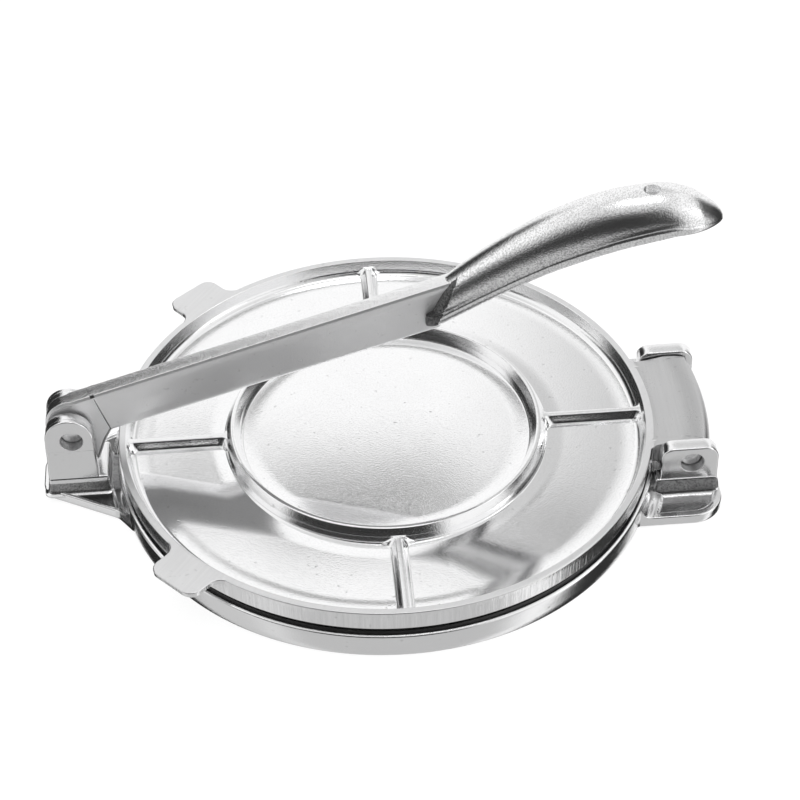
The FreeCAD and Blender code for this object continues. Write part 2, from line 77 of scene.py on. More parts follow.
def turned(a: Array, b: Array, angle: Array) -> tuple[Array, Array]:
    """Coordinates a and b, turned about the origin by an angle in radians."""
    cos, sin = np.cos(angle), np.sin(angle)
    return a * cos - b * sin, a * sin + b * cos


def level(flat: Array, z: Array | float) -> Array:
    """Plan points (x, y) at one height, or each at its own."""
    return np.column_stack([flat, np.full(len(flat), z)])


def upright(flat: Array, y: Array | float) -> Array:
    """Side points (x, z) at one Y, or each at its own."""
    return level(flat, y)[:, [0, 2, 1]]


def rectangle(x: tuple[float, float], y: tuple[float, float], low: float, high: float) -> Array:
    """Corners of a rectangle, counter-clockwise, as rows for rounded_outline.

    Args:
        x: Both ends along X.
        y: Both ends along Y.
        low: Corner radius at the first end along X.
        high: Corner radius at the second end.

    Returns:
        Four rows of (x, y, radius).
    """
    return np.array([(x[0], y[0], low), (x[1], y[0], high), (x[1], y[1], high), (x[0], y[1], low)])


def rounded_outline(corners: Array, spacing: float, arc_steps: int = 6) -> Array:
    """Closed outline with rounded corners.

    Each corner becomes an arc of its own radius, tangent to both straight runs, and each run is
    divided evenly: a tangent point lies radius / tan(half angle) from the corner.

    Args:
        corners: Rows of (a, b, radius) in millimetres.
        spacing: Longest step along a straight run.
        arc_steps: Steps along each arc.

    Returns:
        Points as rows of (a, b), in the corners' order.
    """
    points, radii = corners[:, :2], corners[:, 2]
    arcs: list[Array] = []
    ends: list[tuple[Array, Array]] = []
    for i, here in enumerate(points):
        back = points[i - 1] - here
        ahead = points[(i + 1) % len(points)] - here
        back = back / np.linalg.norm(back)
        ahead = ahead / np.linalg.norm(ahead)
        if radii[i] <= 0:
            arcs.append(here[None])
            ends.append((here, here))
            continue
        half = math.acos(float(np.clip(back @ ahead, -1, 1))) / 2
        entry = here + back * radii[i] / math.tan(half)
        leave = here + ahead * radii[i] / math.tan(half)
        middle = (back + ahead) / np.linalg.norm(back + ahead)
        centre = here + middle * radii[i] / math.sin(half)
        first, last = entry - centre, leave - centre
        turn = math.atan2(first[0] * last[1] - first[1] * last[0], float(first @ last))
        arcs.append(centre + np.stack(turned(*first, np.linspace(0, turn, arc_steps + 1)), 1))
        ends.append((entry, leave))
    runs: list[Array] = []
    for i, arc in enumerate(arcs):
        start, stop = ends[i][1], ends[(i + 1) % len(points)][0]
        count = int(np.linalg.norm(stop - start) / spacing)
        share = np.arange(1, count + 1)[:, None] / (count + 1)
        runs += [arc, start + (stop - start) * share]
    return np.concatenate(runs)


def merged_outline(circle: float, step: float, shapes: list[tuple[float, Array]],
                   reach: float = math.inf, keep_steps: bool = False) -> tuple[Array, Array]:
    """Plan outline of a disc and the shapes that stand out from it.

    Args:
        circle: The disc's radius.
        step: Degrees between the disc's own points.
        shapes: Each shape's turn in degrees and its outline, drawn along +X.
        reach: Radius at which the shapes are cut off.
        keep_steps: Whether the disc's own angles also carry points along the shapes.

    Returns:
        Angles in radians, rising from -180 degrees, and radii.
    """
    angle = np.arange(-180.0, 180.0, step)
    radius = np.full(len(angle), circle)
    for at, shape in shapes:
        r = np.minimum(np.hypot(shape[:, 0], shape[:, 1]), reach)
        a = np.degrees(np.arctan2(shape[:, 1], shape[:, 0]))
        keep = (shape[:, 0] > 0) & (r > circle + 0.01)
        r, a = r[keep], a[keep]
        order = np.argsort(a)
        r, a = r[order], a[order]
        aside = (angle - at + 180) % 360 - 180
        inside = (aside > a[0]) & (aside < a[-1])
        if keep_steps:
            radius[inside] = np.interp(aside[inside], a, r)
        else:
            angle, radius = angle[~inside], radius[~inside]
        angle = np.concatenate([angle, (a + at + 180) % 360 - 180])
        radius = np.concatenate([radius, r])
        order = np.argsort(angle)
        angle, radius = angle[order], radius[order]
    apart = np.diff(angle, prepend=-999) > 0.02
    return np.radians(angle[apart]), radius[apart]


def outward(points: Array) -> Array:
    """Outward unit normals of a closed outline, each square to its neighbours' chord.

    Args:
        points: The outline (a, b), counter-clockwise.

    Returns:
        One normal for each point.
    """
    chord = np.roll(points, -1, 0) - np.roll(points, 1, 0)
    normal = np.stack([chord[:, 1], -chord[:, 0]], 1)
    return normal / np.linalg.norm(normal, axis=1, keepdims=True)


def smooth_step(value: Array, low: float, high: float) -> Array:
    """Smooth rise from 0 at low to 1 at high."""
    t = np.clip((value - low) / (high - low), 0, 1)
    return t * t * (3 - 2 * t)


def hermite(at: Array, value: Array, x: Array) -> Array:
    """Monotone cubic curve through a table, its slopes the harmonic mean of neighbouring chords.

    Args:
        at: Rising places of the table.
        value: Its values.
        x: Places to work out.

    Returns:
        The curve's values at x.
    """
    chord = np.diff(value) / np.diff(at)
    slope = np.zeros(len(at))
    same = chord[:-1] * chord[1:] > 0
    slope[1:-1][same] = 2 / (1 / chord[:-1][same] + 1 / chord[1:][same])
    slope[0], slope[-1] = chord[0], chord[-1]
    i = np.clip(np.searchsorted(at, x) - 1, 0, len(at) - 2)
    gap = at[i + 1] - at[i]
    t = (x - at[i]) / gap
    return ((1 + 2 * t) * (1 - t) ** 2 * value[i] + t * (1 - t) ** 2 * gap * slope[i]
            + t ** 2 * (3 - 2 * t) * value[i + 1] + t ** 2 * (t - 1) * gap * slope[i + 1])


def grid_faces(rows: int, columns: int, wrap_rows: bool, wrap_columns: bool) -> Array:
    """Quads of a grid of points stored row by row.

    Args:
        rows: Number of rows.
        columns: Number of columns.
        wrap_rows: Whether the last row joins the first.
        wrap_columns: Whether the last column joins the first.

    Returns:
        Rows of four point numbers.
    """
    r = np.arange(rows if wrap_rows else rows - 1)
    c = np.arange(columns if wrap_columns else columns - 1)
    r, c = np.meshgrid(r, c, indexing="ij")
    r2, c2 = (r + 1) % rows * columns, (c + 1) % columns
    r = r * columns
    return np.stack([r + c, r + c2, r2 + c2, r2 + c], -1).reshape(-1, 4)


def link_object(name: str, data: bpy.types.ID) -> Piece:
    """Make an object of a mesh, camera or light and link it to the scene."""
    made = bpy.data.objects.new(name, data)
    bpy.context.scene.collection.objects.link(made)
    return made


@dataclass
class Surface:
    """Patches of one piece, gathered before they become a mesh."""

    points: list[Array] = field(default_factory=list)
    faces: list[Array] = field(default_factory=list)

    def add(self, grid: Array | list[Array], wrap_rows: bool = False,
            wrap_columns: bool = False) -> "Surface":
        """Add a grid of points.

        Args:
            grid: Rows of points (columns, 3) in millimetres.
            wrap_rows: Whether the last row joins the first.
            wrap_columns: Whether the last column joins the first.

        Returns:
            The surface itself.
        """
        grid = np.stack(grid)
        start = sum(len(p) for p in self.points)
        self.faces.append(grid_faces(*grid.shape[:2], wrap_rows, wrap_columns) + start)
        self.points.append(grid.reshape(-1, 3))
        return self

    def build(self, name: str, sharp_angle: float = 32.0, weld: float = 0.004) -> Piece:
        """Weld the patches, turn all faces outwards and link the object.

        Args:
            name: The object's name.
            sharp_angle: Edges that turn more than this many degrees stay sharp.
            weld: Points closer together than this many millimetres become one.

        Returns:
            The new object, at the origin, unturned and unscaled.
        """
        mesh = bpy.data.meshes.new(name)
        points = (np.concatenate(self.points) * MM).tolist()
        mesh.from_pydata(points, [], np.concatenate(self.faces).tolist())
        work = bmesh.new()
        work.from_mesh(mesh)
        bmesh.ops.remove_doubles(work, verts=work.verts, dist=weld * MM)
        bmesh.ops.dissolve_degenerate(work, edges=work.edges, dist=weld * MM / 4)
        bmesh.ops.recalc_face_normals(work, faces=work.faces)
        if work.calc_volume(signed=True) < 0:
            bmesh.ops.reverse_faces(work, faces=work.faces)
        work.to_mesh(mesh)
        work.free()
        mesh.shade_smooth()
        mesh.set_sharp_from_angle(angle=math.radians(sharp_angle))
        return link_object(name, mesh)


def face_places(piece: Piece) -> tuple[Array, Array]:
    """Places of a piece's faces.

    Args:
        piece: The piece.

    Returns:
        The faces' centres in millimetres and their unit normals.
    """
    faces = piece.data.polygons
    centre, normal = np.empty(len(faces) * 3), np.empty(len(faces) * 3)
    faces.foreach_get("center", centre)
    faces.foreach_get("normal", normal)
    return centre.reshape(-1, 3) / MM, normal.reshape(-1, 3)


def set_zones(piece: Piece, zone: Array) -> None:
    """Give each face of a piece the material slot of its zone."""
    piece.data.polygons.foreach_set("material_index", zone.astype(np.int32))


def bored_slab(outline: Array, hole: Point, low: float, high: float, edge: float) -> Surface:
    """Upright plate, square to Y, with rounded edges and one round bore.

    Every ray from the bore's axis carries one column: across the near face from the bore to the
    outline, round the quarter-circle edge, along the wall, round the far edge and back over the
    far face to the bore, so the whole surface is one grid closed both ways.

    Args:
        outline: Counter-clockwise outline (x, z).
        hole: Centre x, centre z and radius of the bore.
        low: Y of the near face.
        high: Y of the far face.
        edge: Radius of the rounded edges.

    Returns:
        The plate's surface.
    """
    chamfer = edge * 0.35
    normal = outward(outline)
    centre = np.array(hole[:2])
    ray = outline - centre
    ray /= np.linalg.norm(ray, axis=1, keepdims=True)
    bore = centre + ray * hole[2]
    inset = outline - normal * edge
    half = [(bore, chamfer), (centre + ray * (hole[2] + chamfer), 0.0),
            (bore + (inset - bore) * 0.5, 0.0)]
    half += [(outline - normal * edge * (1 - math.sin(t)), edge * (1 - math.cos(t)))
             for t in quarter(5)]
    rows = [(flat, low + depth) for flat, depth in half]
    rows += [(flat, high - depth) for flat, depth in half[::-1]]
    return Surface().add([upright(flat, y) for flat, y in rows], True, True)


def mound(outline: Array, profile: Array) -> Surface:
    """Raised block: the outline moved outwards and set down along a profile, closed at both ends.

    Args:
        outline: Counter-clockwise plan outline (x, y).
        profile: Rows of (offset outwards, z), from the top's edge to the foot.

    Returns:
        The block's closed surface; its top and foot shrink to the middle.
    """
    normal = outward(outline)
    middle = outline.mean(0)
    rings = [(outline + normal * offset, z) for offset, z in profile]
    (top, high), (foot, low) = rings[0], rings[-1]
    rows = [level(middle + (top - middle) * share, high) for share in (0.0, 0.5, 0.8)]
    rows += [level(flat, z) for flat, z in rings]
    rows += [level(middle + (foot - middle) * share, low) for share in (0.5, 0.0)]
    return Surface().add(rows, wrap_columns=True)


# ---- top plate


@dataclass
class TopPlate:
    """Pressing plate: rim, ring, two thumb tabs and the hinge tongue as one surface, and four ribs.

    Every ray from the plate's centre carries one column of points: out over the floor, ring and
    rim, round the outline of rim, tabs and tongue, down the wall, back under it and over the
    pressing face to the centre.
    """

    press_face: float = 10.4
    press_radius: float = 97.8
    rim_foot: float = 12.6
    rim_foot_radius: float = 99.5
    rim_radius: float = 100.0
    rim_top: float = 20.5
    rim_inner: float = 97.4
    wall_foot: float = 95.7
    floor: float = 14.8
    ring_outer: float = 58.2
    ring_inner: float = 56.6
    ring_bevel: float = 1.6
    ring_shoulder: float = 17.8
    ring_foot: float = 0.5
    crest_round: float = 0.35
    floor_round: float = 3.0
    ring_round: float = 1.0
    shoulder_round: float = 0.3
    rib_crest: float = 2.3
    rib_foot: float = 5.3
    rib_height: float = 3.3
    rib_ends: tuple[float, float] = (58.4, 97.2)
    crest_walls: tuple[float, float] = (59.5, 96.7)
    crest_fillet: float = 2.4
    foot_walls: tuple[float, float] = (60.6, 95.4)
    foot_fillet: float = 3.2
    edge: float = 0.5
    foot_edge: float = 0.25
    step_edge: float = 0.5
    seam: float = 0.02
    tab_angles: tuple[float, float] = (-136.4, 130.6)
    tab_reach: float = 112.5
    tab_half: float = 10.9
    tab_flare: float = 6.3
    tab_thickness: float = 2.3
    tab_sector: float = 15.0
    tongue_sector: tuple[float, float] = (20.0, 60.0)
    tongue_half: float = 24.1
    tongue_flare: float = 4.2

    def tongue_section(self) -> Array:
        """Closed (r, z) section of the tongue, from the rim's foot outwards along the underside."""
        return rounded_outline(np.array([
            (98.7, 12.6, 0), (102.4, 12.6, 0), (103.4, 9.8, 0.6), (117.6, 9.8, 3.2),
            (121.3, 18.2, 2.5), (119.9, 21.9, 2.5), (115.5, 22.5, 0), (111.3, 22.5, 3.0),
            (101.5, 20.5, 4.0), (98.7, 20.5, 0)]), 0.9, 10)

    def floor_section(self) -> Array:
        """Open section of the upper side, from the centre to the rim's crest.

        Returns:
            Rows of (r, z).
        """
        out = self.ring_outer + self.ring_bevel
        inside = self.ring_inner - self.ring_bevel
        below, beyond = 5, 120
        corners = np.array([
            (0, below, 0), (beyond, below, 0), (beyond, self.rim_top, 0),
            (self.rim_inner, self.rim_top, self.crest_round),
            (self.wall_foot, self.floor, self.floor_round),
            (out + self.ring_foot, self.floor, self.ring_round),
            (out, self.ring_shoulder, self.shoulder_round),
            (self.ring_outer, self.rim_top, self.crest_round),
            (self.ring_inner, self.rim_top, self.crest_round),
            (inside, self.ring_shoulder, self.shoulder_round),
            (inside - self.ring_foot, self.floor, self.ring_round), (0, self.floor, 0)])
        points = rounded_outline(corners, 7.0, 5)
        crest = (points[:, 1] == self.rim_top) & (points[:, 0] <= self.rim_inner + 0.8)
        return points[int(np.flatnonzero(crest)[0]):][::-1]

    def lug(self, half: float, flare: float, reach: float, rounds: tuple[float, float],
            spacing: float, steps: int) -> Array:
        """Plan outline of a tab or tongue that leaves the rim along +X.

        Args:
            half: Half its width.
            flare: Width that its rounded root adds on each side.
            reach: Radius of its end.
            rounds: Radii of the root's and the end's corners.
            spacing: Longest step along a straight run.
            steps: Steps along each arc.

        Returns:
            The outline, counter-clockwise.
        """
        spread, square = half + flare, self.rim_radius ** 2
        side = [(80, spread, 0), (math.sqrt(square - spread ** 2), spread, 0),
                (math.sqrt(square - half ** 2), half, rounds[0]), (reach, half, rounds[1])]
        corners = [(x, -y, r) for x, y, r in side] + side[::-1]
        return rounded_outline(np.array(corners), spacing, steps)

    def outline(self) -> tuple[Array, Array]:
        """Plan outline of rim, tabs and tongue.

        Returns:
            Angles and radii, as merged_outline gives them.
        """
        tab = self.lug(self.tab_half, self.tab_flare, self.tab_reach, (5.0, 4.5), 0.8, 10)
        tongue = self.lug(self.tongue_half, self.tongue_flare, 124.0, (3.0, 0.0), 0.7, 8)
        shapes = [(at, tab) for at in self.tab_angles] + [(0.0, tongue)]
        reach = float(self.tongue_section()[:, 0].max())
        return merged_outline(self.rim_radius, 0.6, shapes, reach, keep_steps=True)

    def ribs(self) -> Surface:
        """Four ribs from the ring to the rim, each a closed loft along its radius.

        Across, a rib is a flat crest with rounded edges, straight flanks and a small fillet to the
        floor. Along, both half widths grow by a quarter-circle fillet,
        root - sqrt(root^2 - (root - d)^2), at a distance d from the wall that they run into.

        Returns:
            The ribs' surface.
        """
        first, last = self.rib_ends
        fine = 5.6
        along = np.concatenate([np.linspace(first, first + fine, 22), np.linspace(65.0, 91.0, 20),
                                np.linspace(last - fine, last, 22)])

        def spread(walls: tuple[float, float], root: float) -> Array:
            """Extra half width of the fillets towards ring and rim."""
            d = np.clip(np.minimum(along - walls[0], walls[1] - along), 0, root)
            return root - np.sqrt(root ** 2 - (root - d) ** 2)

        crest = self.rib_crest / 2 + spread(self.crest_walls, self.crest_fillet)
        foot = self.rib_foot / 2 + spread(self.foot_walls, self.foot_fillet)
        h = self.rib_height
        half = [(crest * 0, h), (crest - 0.4, h), (crest - 0.15, h - 0.05),
                (crest + 0.06, h - 0.22), (crest + 0.22, h - 0.55),
                (crest * 0.45 + foot * 0.55, h * 0.42), (foot - 0.4, 0.75),
                (foot - 0.12, 0.32), (foot + 0.3, 0.08), (foot + 0.9, -0.04), (foot + 0.9, -0.5)]
        across = half + [(-side, height) for side, height in half[:0:-1]]
        loop = np.stack([np.stack([along, side, self.floor + height + 0 * along], -1)
                         for side, height in across], 1)
        middle = loop.mean(1, keepdims=True)
        loop = np.concatenate([middle[:1] + 0 * loop[:1], loop, middle[-1:] + 0 * loop[-1:]])
        surface = Surface()
        x, y, z = np.moveaxis(loop, -1, 0)
        for turn in np.radians((0.0, 90.0, 180.0, 270.0)):
            surface.add(np.stack([*turned(x, y, turn), z], -1), wrap_columns=True)
        return surface

    def build(self) -> list[Piece]:
        """Make the plate's single closed surface, and its ribs.

        Returns:
            The plate and the ribs.
        """
        angle, radius = self.outline()
        ray = np.stack([np.cos(angle), np.sin(angle)], 1)
        outline = ray * radius[:, None]
        normal = outward(outline)
        section = self.floor_section()
        tongue = self.tongue_section()
        tip = int(np.argmax(tongue[:, 0]))
        lower, upper = tongue[:tip + 1], tongue[tip:][::-1]
        on_tongue = np.abs(outline[:, 1]) < self.tongue_half + self.tongue_flare + 0.1
        on_tongue &= outline[:, 0] > 90

        def top_height(flat: Array) -> Array:
            """Height of the crest, tab or tongue.

            Args:
                flat: Plan points (x, y), one on each ray.

            Returns:
                One height for each point.
            """
            r = np.hypot(flat[:, 0], flat[:, 1])
            over = np.interp(r, upper[:, 0], upper[:, 1])
            return np.where(on_tongue & (r > self.rim_radius), over, self.rim_top)

        # over the floor, ring and rim to the outline
        rows = [level(ray * r, z) for r, z in section]
        crest = ray * section[-1, 0]
        for share in np.sin(quarter(15))[1:]:
            flat = crest + (outline - normal * self.edge - crest) * share
            rows.append(level(flat, top_height(flat)))
        # round the edge and down the wall
        degrees = np.degrees(angle)
        away = np.abs((degrees[:, None] - np.array(self.tab_angles) + 180) % 360 - 180).min(1)
        tab_foot = self.rim_top - self.tab_thickness
        rise = smooth_step(np.abs(degrees), *self.tongue_sector)
        bottom = np.where(away < self.tab_sector, tab_foot,
                          self.rim_foot + (tab_foot - self.rim_foot) * rise)
        bottom = np.where(on_tongue, np.interp(radius, lower[:, 0], lower[:, 1]), bottom)
        top = top_height(outline)
        depth = np.minimum(self.edge, (top - bottom) * 0.45)
        for t in quarter(5)[1:]:
            flat = outline - normal * self.edge * (1 - math.sin(t))
            rows.append(level(flat, top_height(flat) - depth * (1 - math.cos(t))))
        draft = (self.rim_radius - self.rim_foot_radius) / (self.rim_top - self.rim_foot)
        start, stop = top - depth, bottom + np.minimum(0.3, (top - bottom) * 0.2)
        for share in (0.25, 0.5, 0.75, 1.0):
            z = start + (stop - start) * share
            inward = draft * (self.rim_top - z) * ~on_tongue
            rows.append(level(outline - normal * inward[:, None], z))
        under = rows[-1][:, :2] - normal * self.foot_edge
        rows.append(level(under, bottom))
        # back under tabs and tongue to the wall, down to its foot and over the pressing face
        outer = np.hypot(under[:, 0], under[:, 1])
        wall = self.rim_radius - draft * (self.rim_top - bottom)
        wall = np.where(on_tongue, self.rim_foot_radius, wall) - self.seam
        wall = np.minimum(wall, outer)
        for share in np.linspace(0, 1, 13)[1:]:
            r = outer + (wall - outer) * share
            z = np.where(on_tongue, np.interp(r, lower[:, 0], lower[:, 1]), bottom)
            rows.append(level(under / outer[:, None] * r[:, None], z))
        for share in (0.5, 1.0):
            r = wall + (self.rim_foot_radius - self.seam - wall) * share
            rows.append(level(ray * r[:, None], z + (self.rim_foot - z) * share))
        step, face, edge = self.press_radius, self.press_face, self.step_edge
        for r, z in ((self.rim_foot_radius - edge, self.rim_foot), (step, self.rim_foot),
                     (step, face + edge), (step - 0.3 * edge, face + 0.3 * edge),
                     (step - edge, face), (90, face), (60, face), (30, face), (0, face)):
            rows.append(level(ray * r, z))
        plate = Surface().add(rows, wrap_columns=True)
        return [plate.build("top_plate_casting", 30.0), self.ribs().build("plate_ribs", 35.0)]

    def face_zones(self, plate: Piece) -> None:
        """Give the plate's parts their own slots.

        Args:
            plate: The plate, whose slots are polished floor, ground crest and tabs, ground outer
            wall, satin inner walls and underside, painted shadow on the step over the bed, and
            brushed tongue.
        """
        place, normal = face_places(plate)
        up = normal[:, 2]
        r = np.hypot(place[:, 0], place[:, 1])
        inner = r < self.rim_inner + 0.1
        step = (place[:, 2] < self.rim_foot + 0.05) & (r < self.rim_foot_radius - 0.3)
        tongue = (r > self.rim_radius + 0.6) & (place[:, 0] > 90)
        tongue &= np.abs(place[:, 1]) < self.tongue_half + self.tongue_flare - 0.3
        zone = np.zeros(len(r))
        zone[(r > self.rim_inner + 0.1) & (up > 0.5)] = 1
        zone[(r > self.rim_inner + 1.2) & (np.abs(up) <= 0.5)] = 2
        zone[(up < -0.5) | (np.abs(up) < 0.95) & inner] = 3
        # painted shadow: the rim's step over the bed is coloured near black for the shade in the
        # gap between plate and bed
        zone[step & (r > self.press_radius - 1.3)] = 4
        zone[tongue & (up > -0.5)] = 5
        set_zones(plate, zone)


# ---- base plate


@dataclass
class BasePlate:
    """Bed with the flanges, blocks, ears and the lever's stop seat."""

    height: float = 10.0
    top_radius: float = 100.95
    foot_radius: float = 100.4
    edge: float = 0.75
    edge_run: float = 1.35
    flange_edge: float = 0.5
    draft: float = 0.06
    floor: float = 4.6
    skirt: float = 3.6
    flange: float = 4.0
    flange_side: float = 45.5
    flange_end: float = 122.3
    flange_corner: float = 12.0
    clevis_end: float = 129.3
    clevis_nose: float = 7.6
    clevis_knee: tuple[float, float] = (101.5, 22.7)
    fillet: float = 4.6
    pocket: float = 0.8
    hinge_border: float = 2.7
    clevis_border: float = 1.3
    inner_ring: tuple[float, float] = (56.5, 59.5)
    inner_ring_foot: float = 1.0
    hinge: Point = (111.3, 16.6, 4.3)
    ear_inner: float = 24.7
    ear_outer: float = 30.6
    ear_edge: float = 0.7
    lever: Point = (-116.4, 28.3, 4.25)
    clevis_inner: float = 4.0
    clevis_outer: float = 9.6
    clevis_foot: float = 3.0
    parting: float = 22.2
    block_end: float = 121.6

    def hinge_flange(self) -> Array:
        """Corners of the flange under the hinge."""
        side = self.flange_side
        return rectangle((76.8, self.flange_end), (-side, side), 0.0, self.flange_corner)

    def clevis_flange(self) -> Array:
        """Corners of the flange under the clevis, on the left.

        Returns:
            Rows of (x, y, radius), from the bed's rear round the nose to its front.
        """
        angle = math.radians(18.6)
        root = 100.1 * math.cos(angle), 100.1 * math.sin(angle)
        half = [(-self.clevis_end, self.clevis_nose, 4.7),
                (-self.clevis_knee[0], self.clevis_knee[1], 6.0), (-root[0], root[1], 0.0),
                (-80.0, root[1], 0.0)]
        return np.array(half[::-1] + [(a, -b, r) for a, b, r in half])

    def outline(self) -> tuple[Array, Array]:
        """Plan outline of bed and flanges as (angle, radius)."""
        shapes = [(0.0, rounded_outline(self.hinge_flange(), 0.45, 26)),
                  (180.0, -rounded_outline(self.clevis_flange(), 0.45, 14))]
        return merged_outline(self.top_radius, 0.7, shapes)

    def pocket_depth(self, x: Array, y: Array) -> Array:
        """Depth of the flanges' pockets: full inside a border, clear of the fillet and the blocks.

        Args:
            x: Places along X.
            y: Places along Y.

        Returns:
            The depth, zero outside the pockets.
        """
        beyond = np.hypot(x, y) - self.top_radius
        border, middle = self.hinge_border, 60.0
        corner = self.flange_corner - border
        dx = np.abs(x - middle) - (self.flange_end - border - middle) + corner
        dy = np.abs(y) - (self.flange_side - border) + corner
        box = np.hypot(np.clip(dx, 0, None), np.clip(dy, 0, None)) - corner
        box += np.minimum(np.maximum(dx, dy), 0)
        block = np.maximum(np.abs(y) - 29.0, 95 - x)
        right = np.minimum.reduce([-box, block, beyond - self.fillet])
        (knee, width), end = self.clevis_knee, self.clevis_end
        slope = (width - self.clevis_nose) / (end - knee)
        flank = (np.abs(y) - self.clevis_nose - slope * (x + end)) / math.hypot(1, slope)
        left = np.minimum.reduce([-flank - self.clevis_border, x + end - self.clevis_border,
                                  np.abs(y) - 9.0, beyond - 2.4, -knee - x])
        depth = np.maximum(np.where(x > 0, right, -9), np.where(x < 0, left, -9))
        return self.pocket * smooth_step(depth, -0.3, 0.9)

    def flange_height(self, flat: Array) -> Array:
        """Height of a flange's top with the quarter-circle fillet up to the bed's wall.

        Args:
            flat: Plan points (x, y).

        Returns:
            One height for each point.
        """
        out = np.hypot(flat[:, 0], flat[:, 1]) - self.top_radius
        room = np.clip(self.fillet - out, 0, self.fillet)
        fillet = self.fillet - np.sqrt(np.clip(self.fillet ** 2 - room ** 2, 0, None))
        return self.flange + fillet - self.pocket_depth(flat[:, 0], flat[:, 1])

    def bed(self) -> Surface:
        """Bed and flanges: columns from the top's centre round the outline to the underside's.

        Returns:
            The bed's single closed surface.
        """
        angle, radius = self.outline()
        ray = np.stack([np.cos(angle), np.sin(angle)], 1)
        outline = ray * radius[:, None]
        normal = outward(outline)
        round_wall = ray * self.top_radius
        plain = radius < self.top_radius + 0.02
        flanged = (~plain)[:, None]
        # top, rounded edge and wall
        rows = [level(ray * r, self.height) for r in (0, 25, 50, 75, 96, 99.5)]
        for t in quarter(6):
            rows.append(level(ray * (self.top_radius - self.edge_run * (1 - math.sin(t))),
                              self.height - self.edge * (1 - math.cos(t))))
        rows += [level(round_wall, z) for z in (9.2, 8.9)]
        # fillet and flange out to its rounded edge; plain wall elsewhere
        start = self.flange + self.fillet
        inset = round_wall + (outline - normal * self.flange_edge - round_wall) * flanged
        short = np.hypot(inset[:, 0], inset[:, 1]) < self.top_radius
        inset[short] = round_wall[short]
        turn_share = 0.16
        shares = turn_share * (1 - np.cos(quarter(13))), np.linspace(turn_share, 1, 44)[1:]
        for share in np.concatenate(shares):
            flat = round_wall + (inset - round_wall) * share
            rows.append(level(flat, np.minimum(self.flange_height(flat), start)))
        top = rows[-1][:, 2]
        for t in quarter(5)[1:]:
            drop = self.flange_edge * (1 - math.cos(t)) * ~plain
            rows.append(level(inset + (outline - inset) * math.sin(t) * flanged, top - drop))
        wall_top = rows[-1][:, 2]
        for share in (0.33, 0.66, 1.0):
            z = wall_top + (0.5 - wall_top) * share
            inward = self.draft * (start - z) * plain
            rows.append(level(outline - normal * inward[:, None], z))
        rim = rows[-1][:, :2]
        rows += [level(rim - normal * 0.15, 0.15), level(rim - normal * 0.5, 0.0)]
        # hollow underside with its inner ring
        inner, under = self.foot_radius - self.skirt, self.height - self.floor
        (near, far), foot = self.inner_ring, self.inner_ring_foot
        for r, z in ((inner + 0.4, 0), (inner, 0.4), (inner, under - 2), (inner - 0.6, under - 0.6),
                     (inner - 2, under), (75, under), (far, under), (far, foot), (near, foot),
                     (near, under), (30, under), (0, under)):
            rows.append(level(ray * r, z))
        return Surface().add(rows, wrap_columns=True)

    def under_ribs(self) -> Surface:
        """Eight upright ribs under the bed, each a closed bar with rounded ends.

        Returns:
            The ribs' surface.
        """
        surface = Surface()
        bar = rounded_outline(rectangle((58, 98), (-1.5, 1.5), 0.3, 0.3), 9, 3)
        for turn in np.radians(np.arange(8) * 45):
            flat = np.stack(turned(bar[:, 0], bar[:, 1], turn), 1)
            middle = flat.mean(0)
            surface.add([level(middle + (flat - middle) * share, z) for share, z in (
                (0, 1.0), (0.98, 1.0), (1, 1.4), (1, 7.0), (0, 7.0))], wrap_columns=True)
        return surface

    def hinge_parts(self) -> list[Piece]:
        """Make the two blocks and ears of the hinge.

        Returns:
            Block and ear in front, then block and ear at the rear.
        """
        pieces = []
        profile = np.array([(-0.75, 9.4), (-0.45, 9.33), (-0.2, 9.12), (0.0, 8.8), (0.3, 7.6),
                            (0.62, 6.3), (0.9, 5.3), (1.15, 4.6), (1.5, 4.0), (2.0, 3.55),
                            (2.6, 3.28), (3.2, 3.17), (3.2, 2.6)])
        ear = rounded_outline(np.array([(99.8, 3.0, 0), (121.0, 3.0, 0), (121.0, 23.5, 5.0),
                                        (99.8, 23.5, 4.5)]), 1.5, 10)
        overhang = 0.7
        for name, side in (("front", -1), ("rear", 1)):
            low, high = sorted((side * self.ear_inner, side * self.ear_outer))
            ends = (low - overhang, high) if side < 0 else (low, high + overhang)
            foot = rounded_outline(rectangle((98.0, 121.0), ends, 1.0, 0.6), 2.0, 4)
            block = mound(foot, profile)
            block.points = [np.minimum(p, (self.block_end, np.inf, np.inf)) for p in block.points]
            pieces.append(block.build("hinge_block_" + name))
            slab = bored_slab(ear, self.hinge, low, high, self.ear_edge)
            pieces.append(slab.build("hinge_ear_" + name))
        return pieces

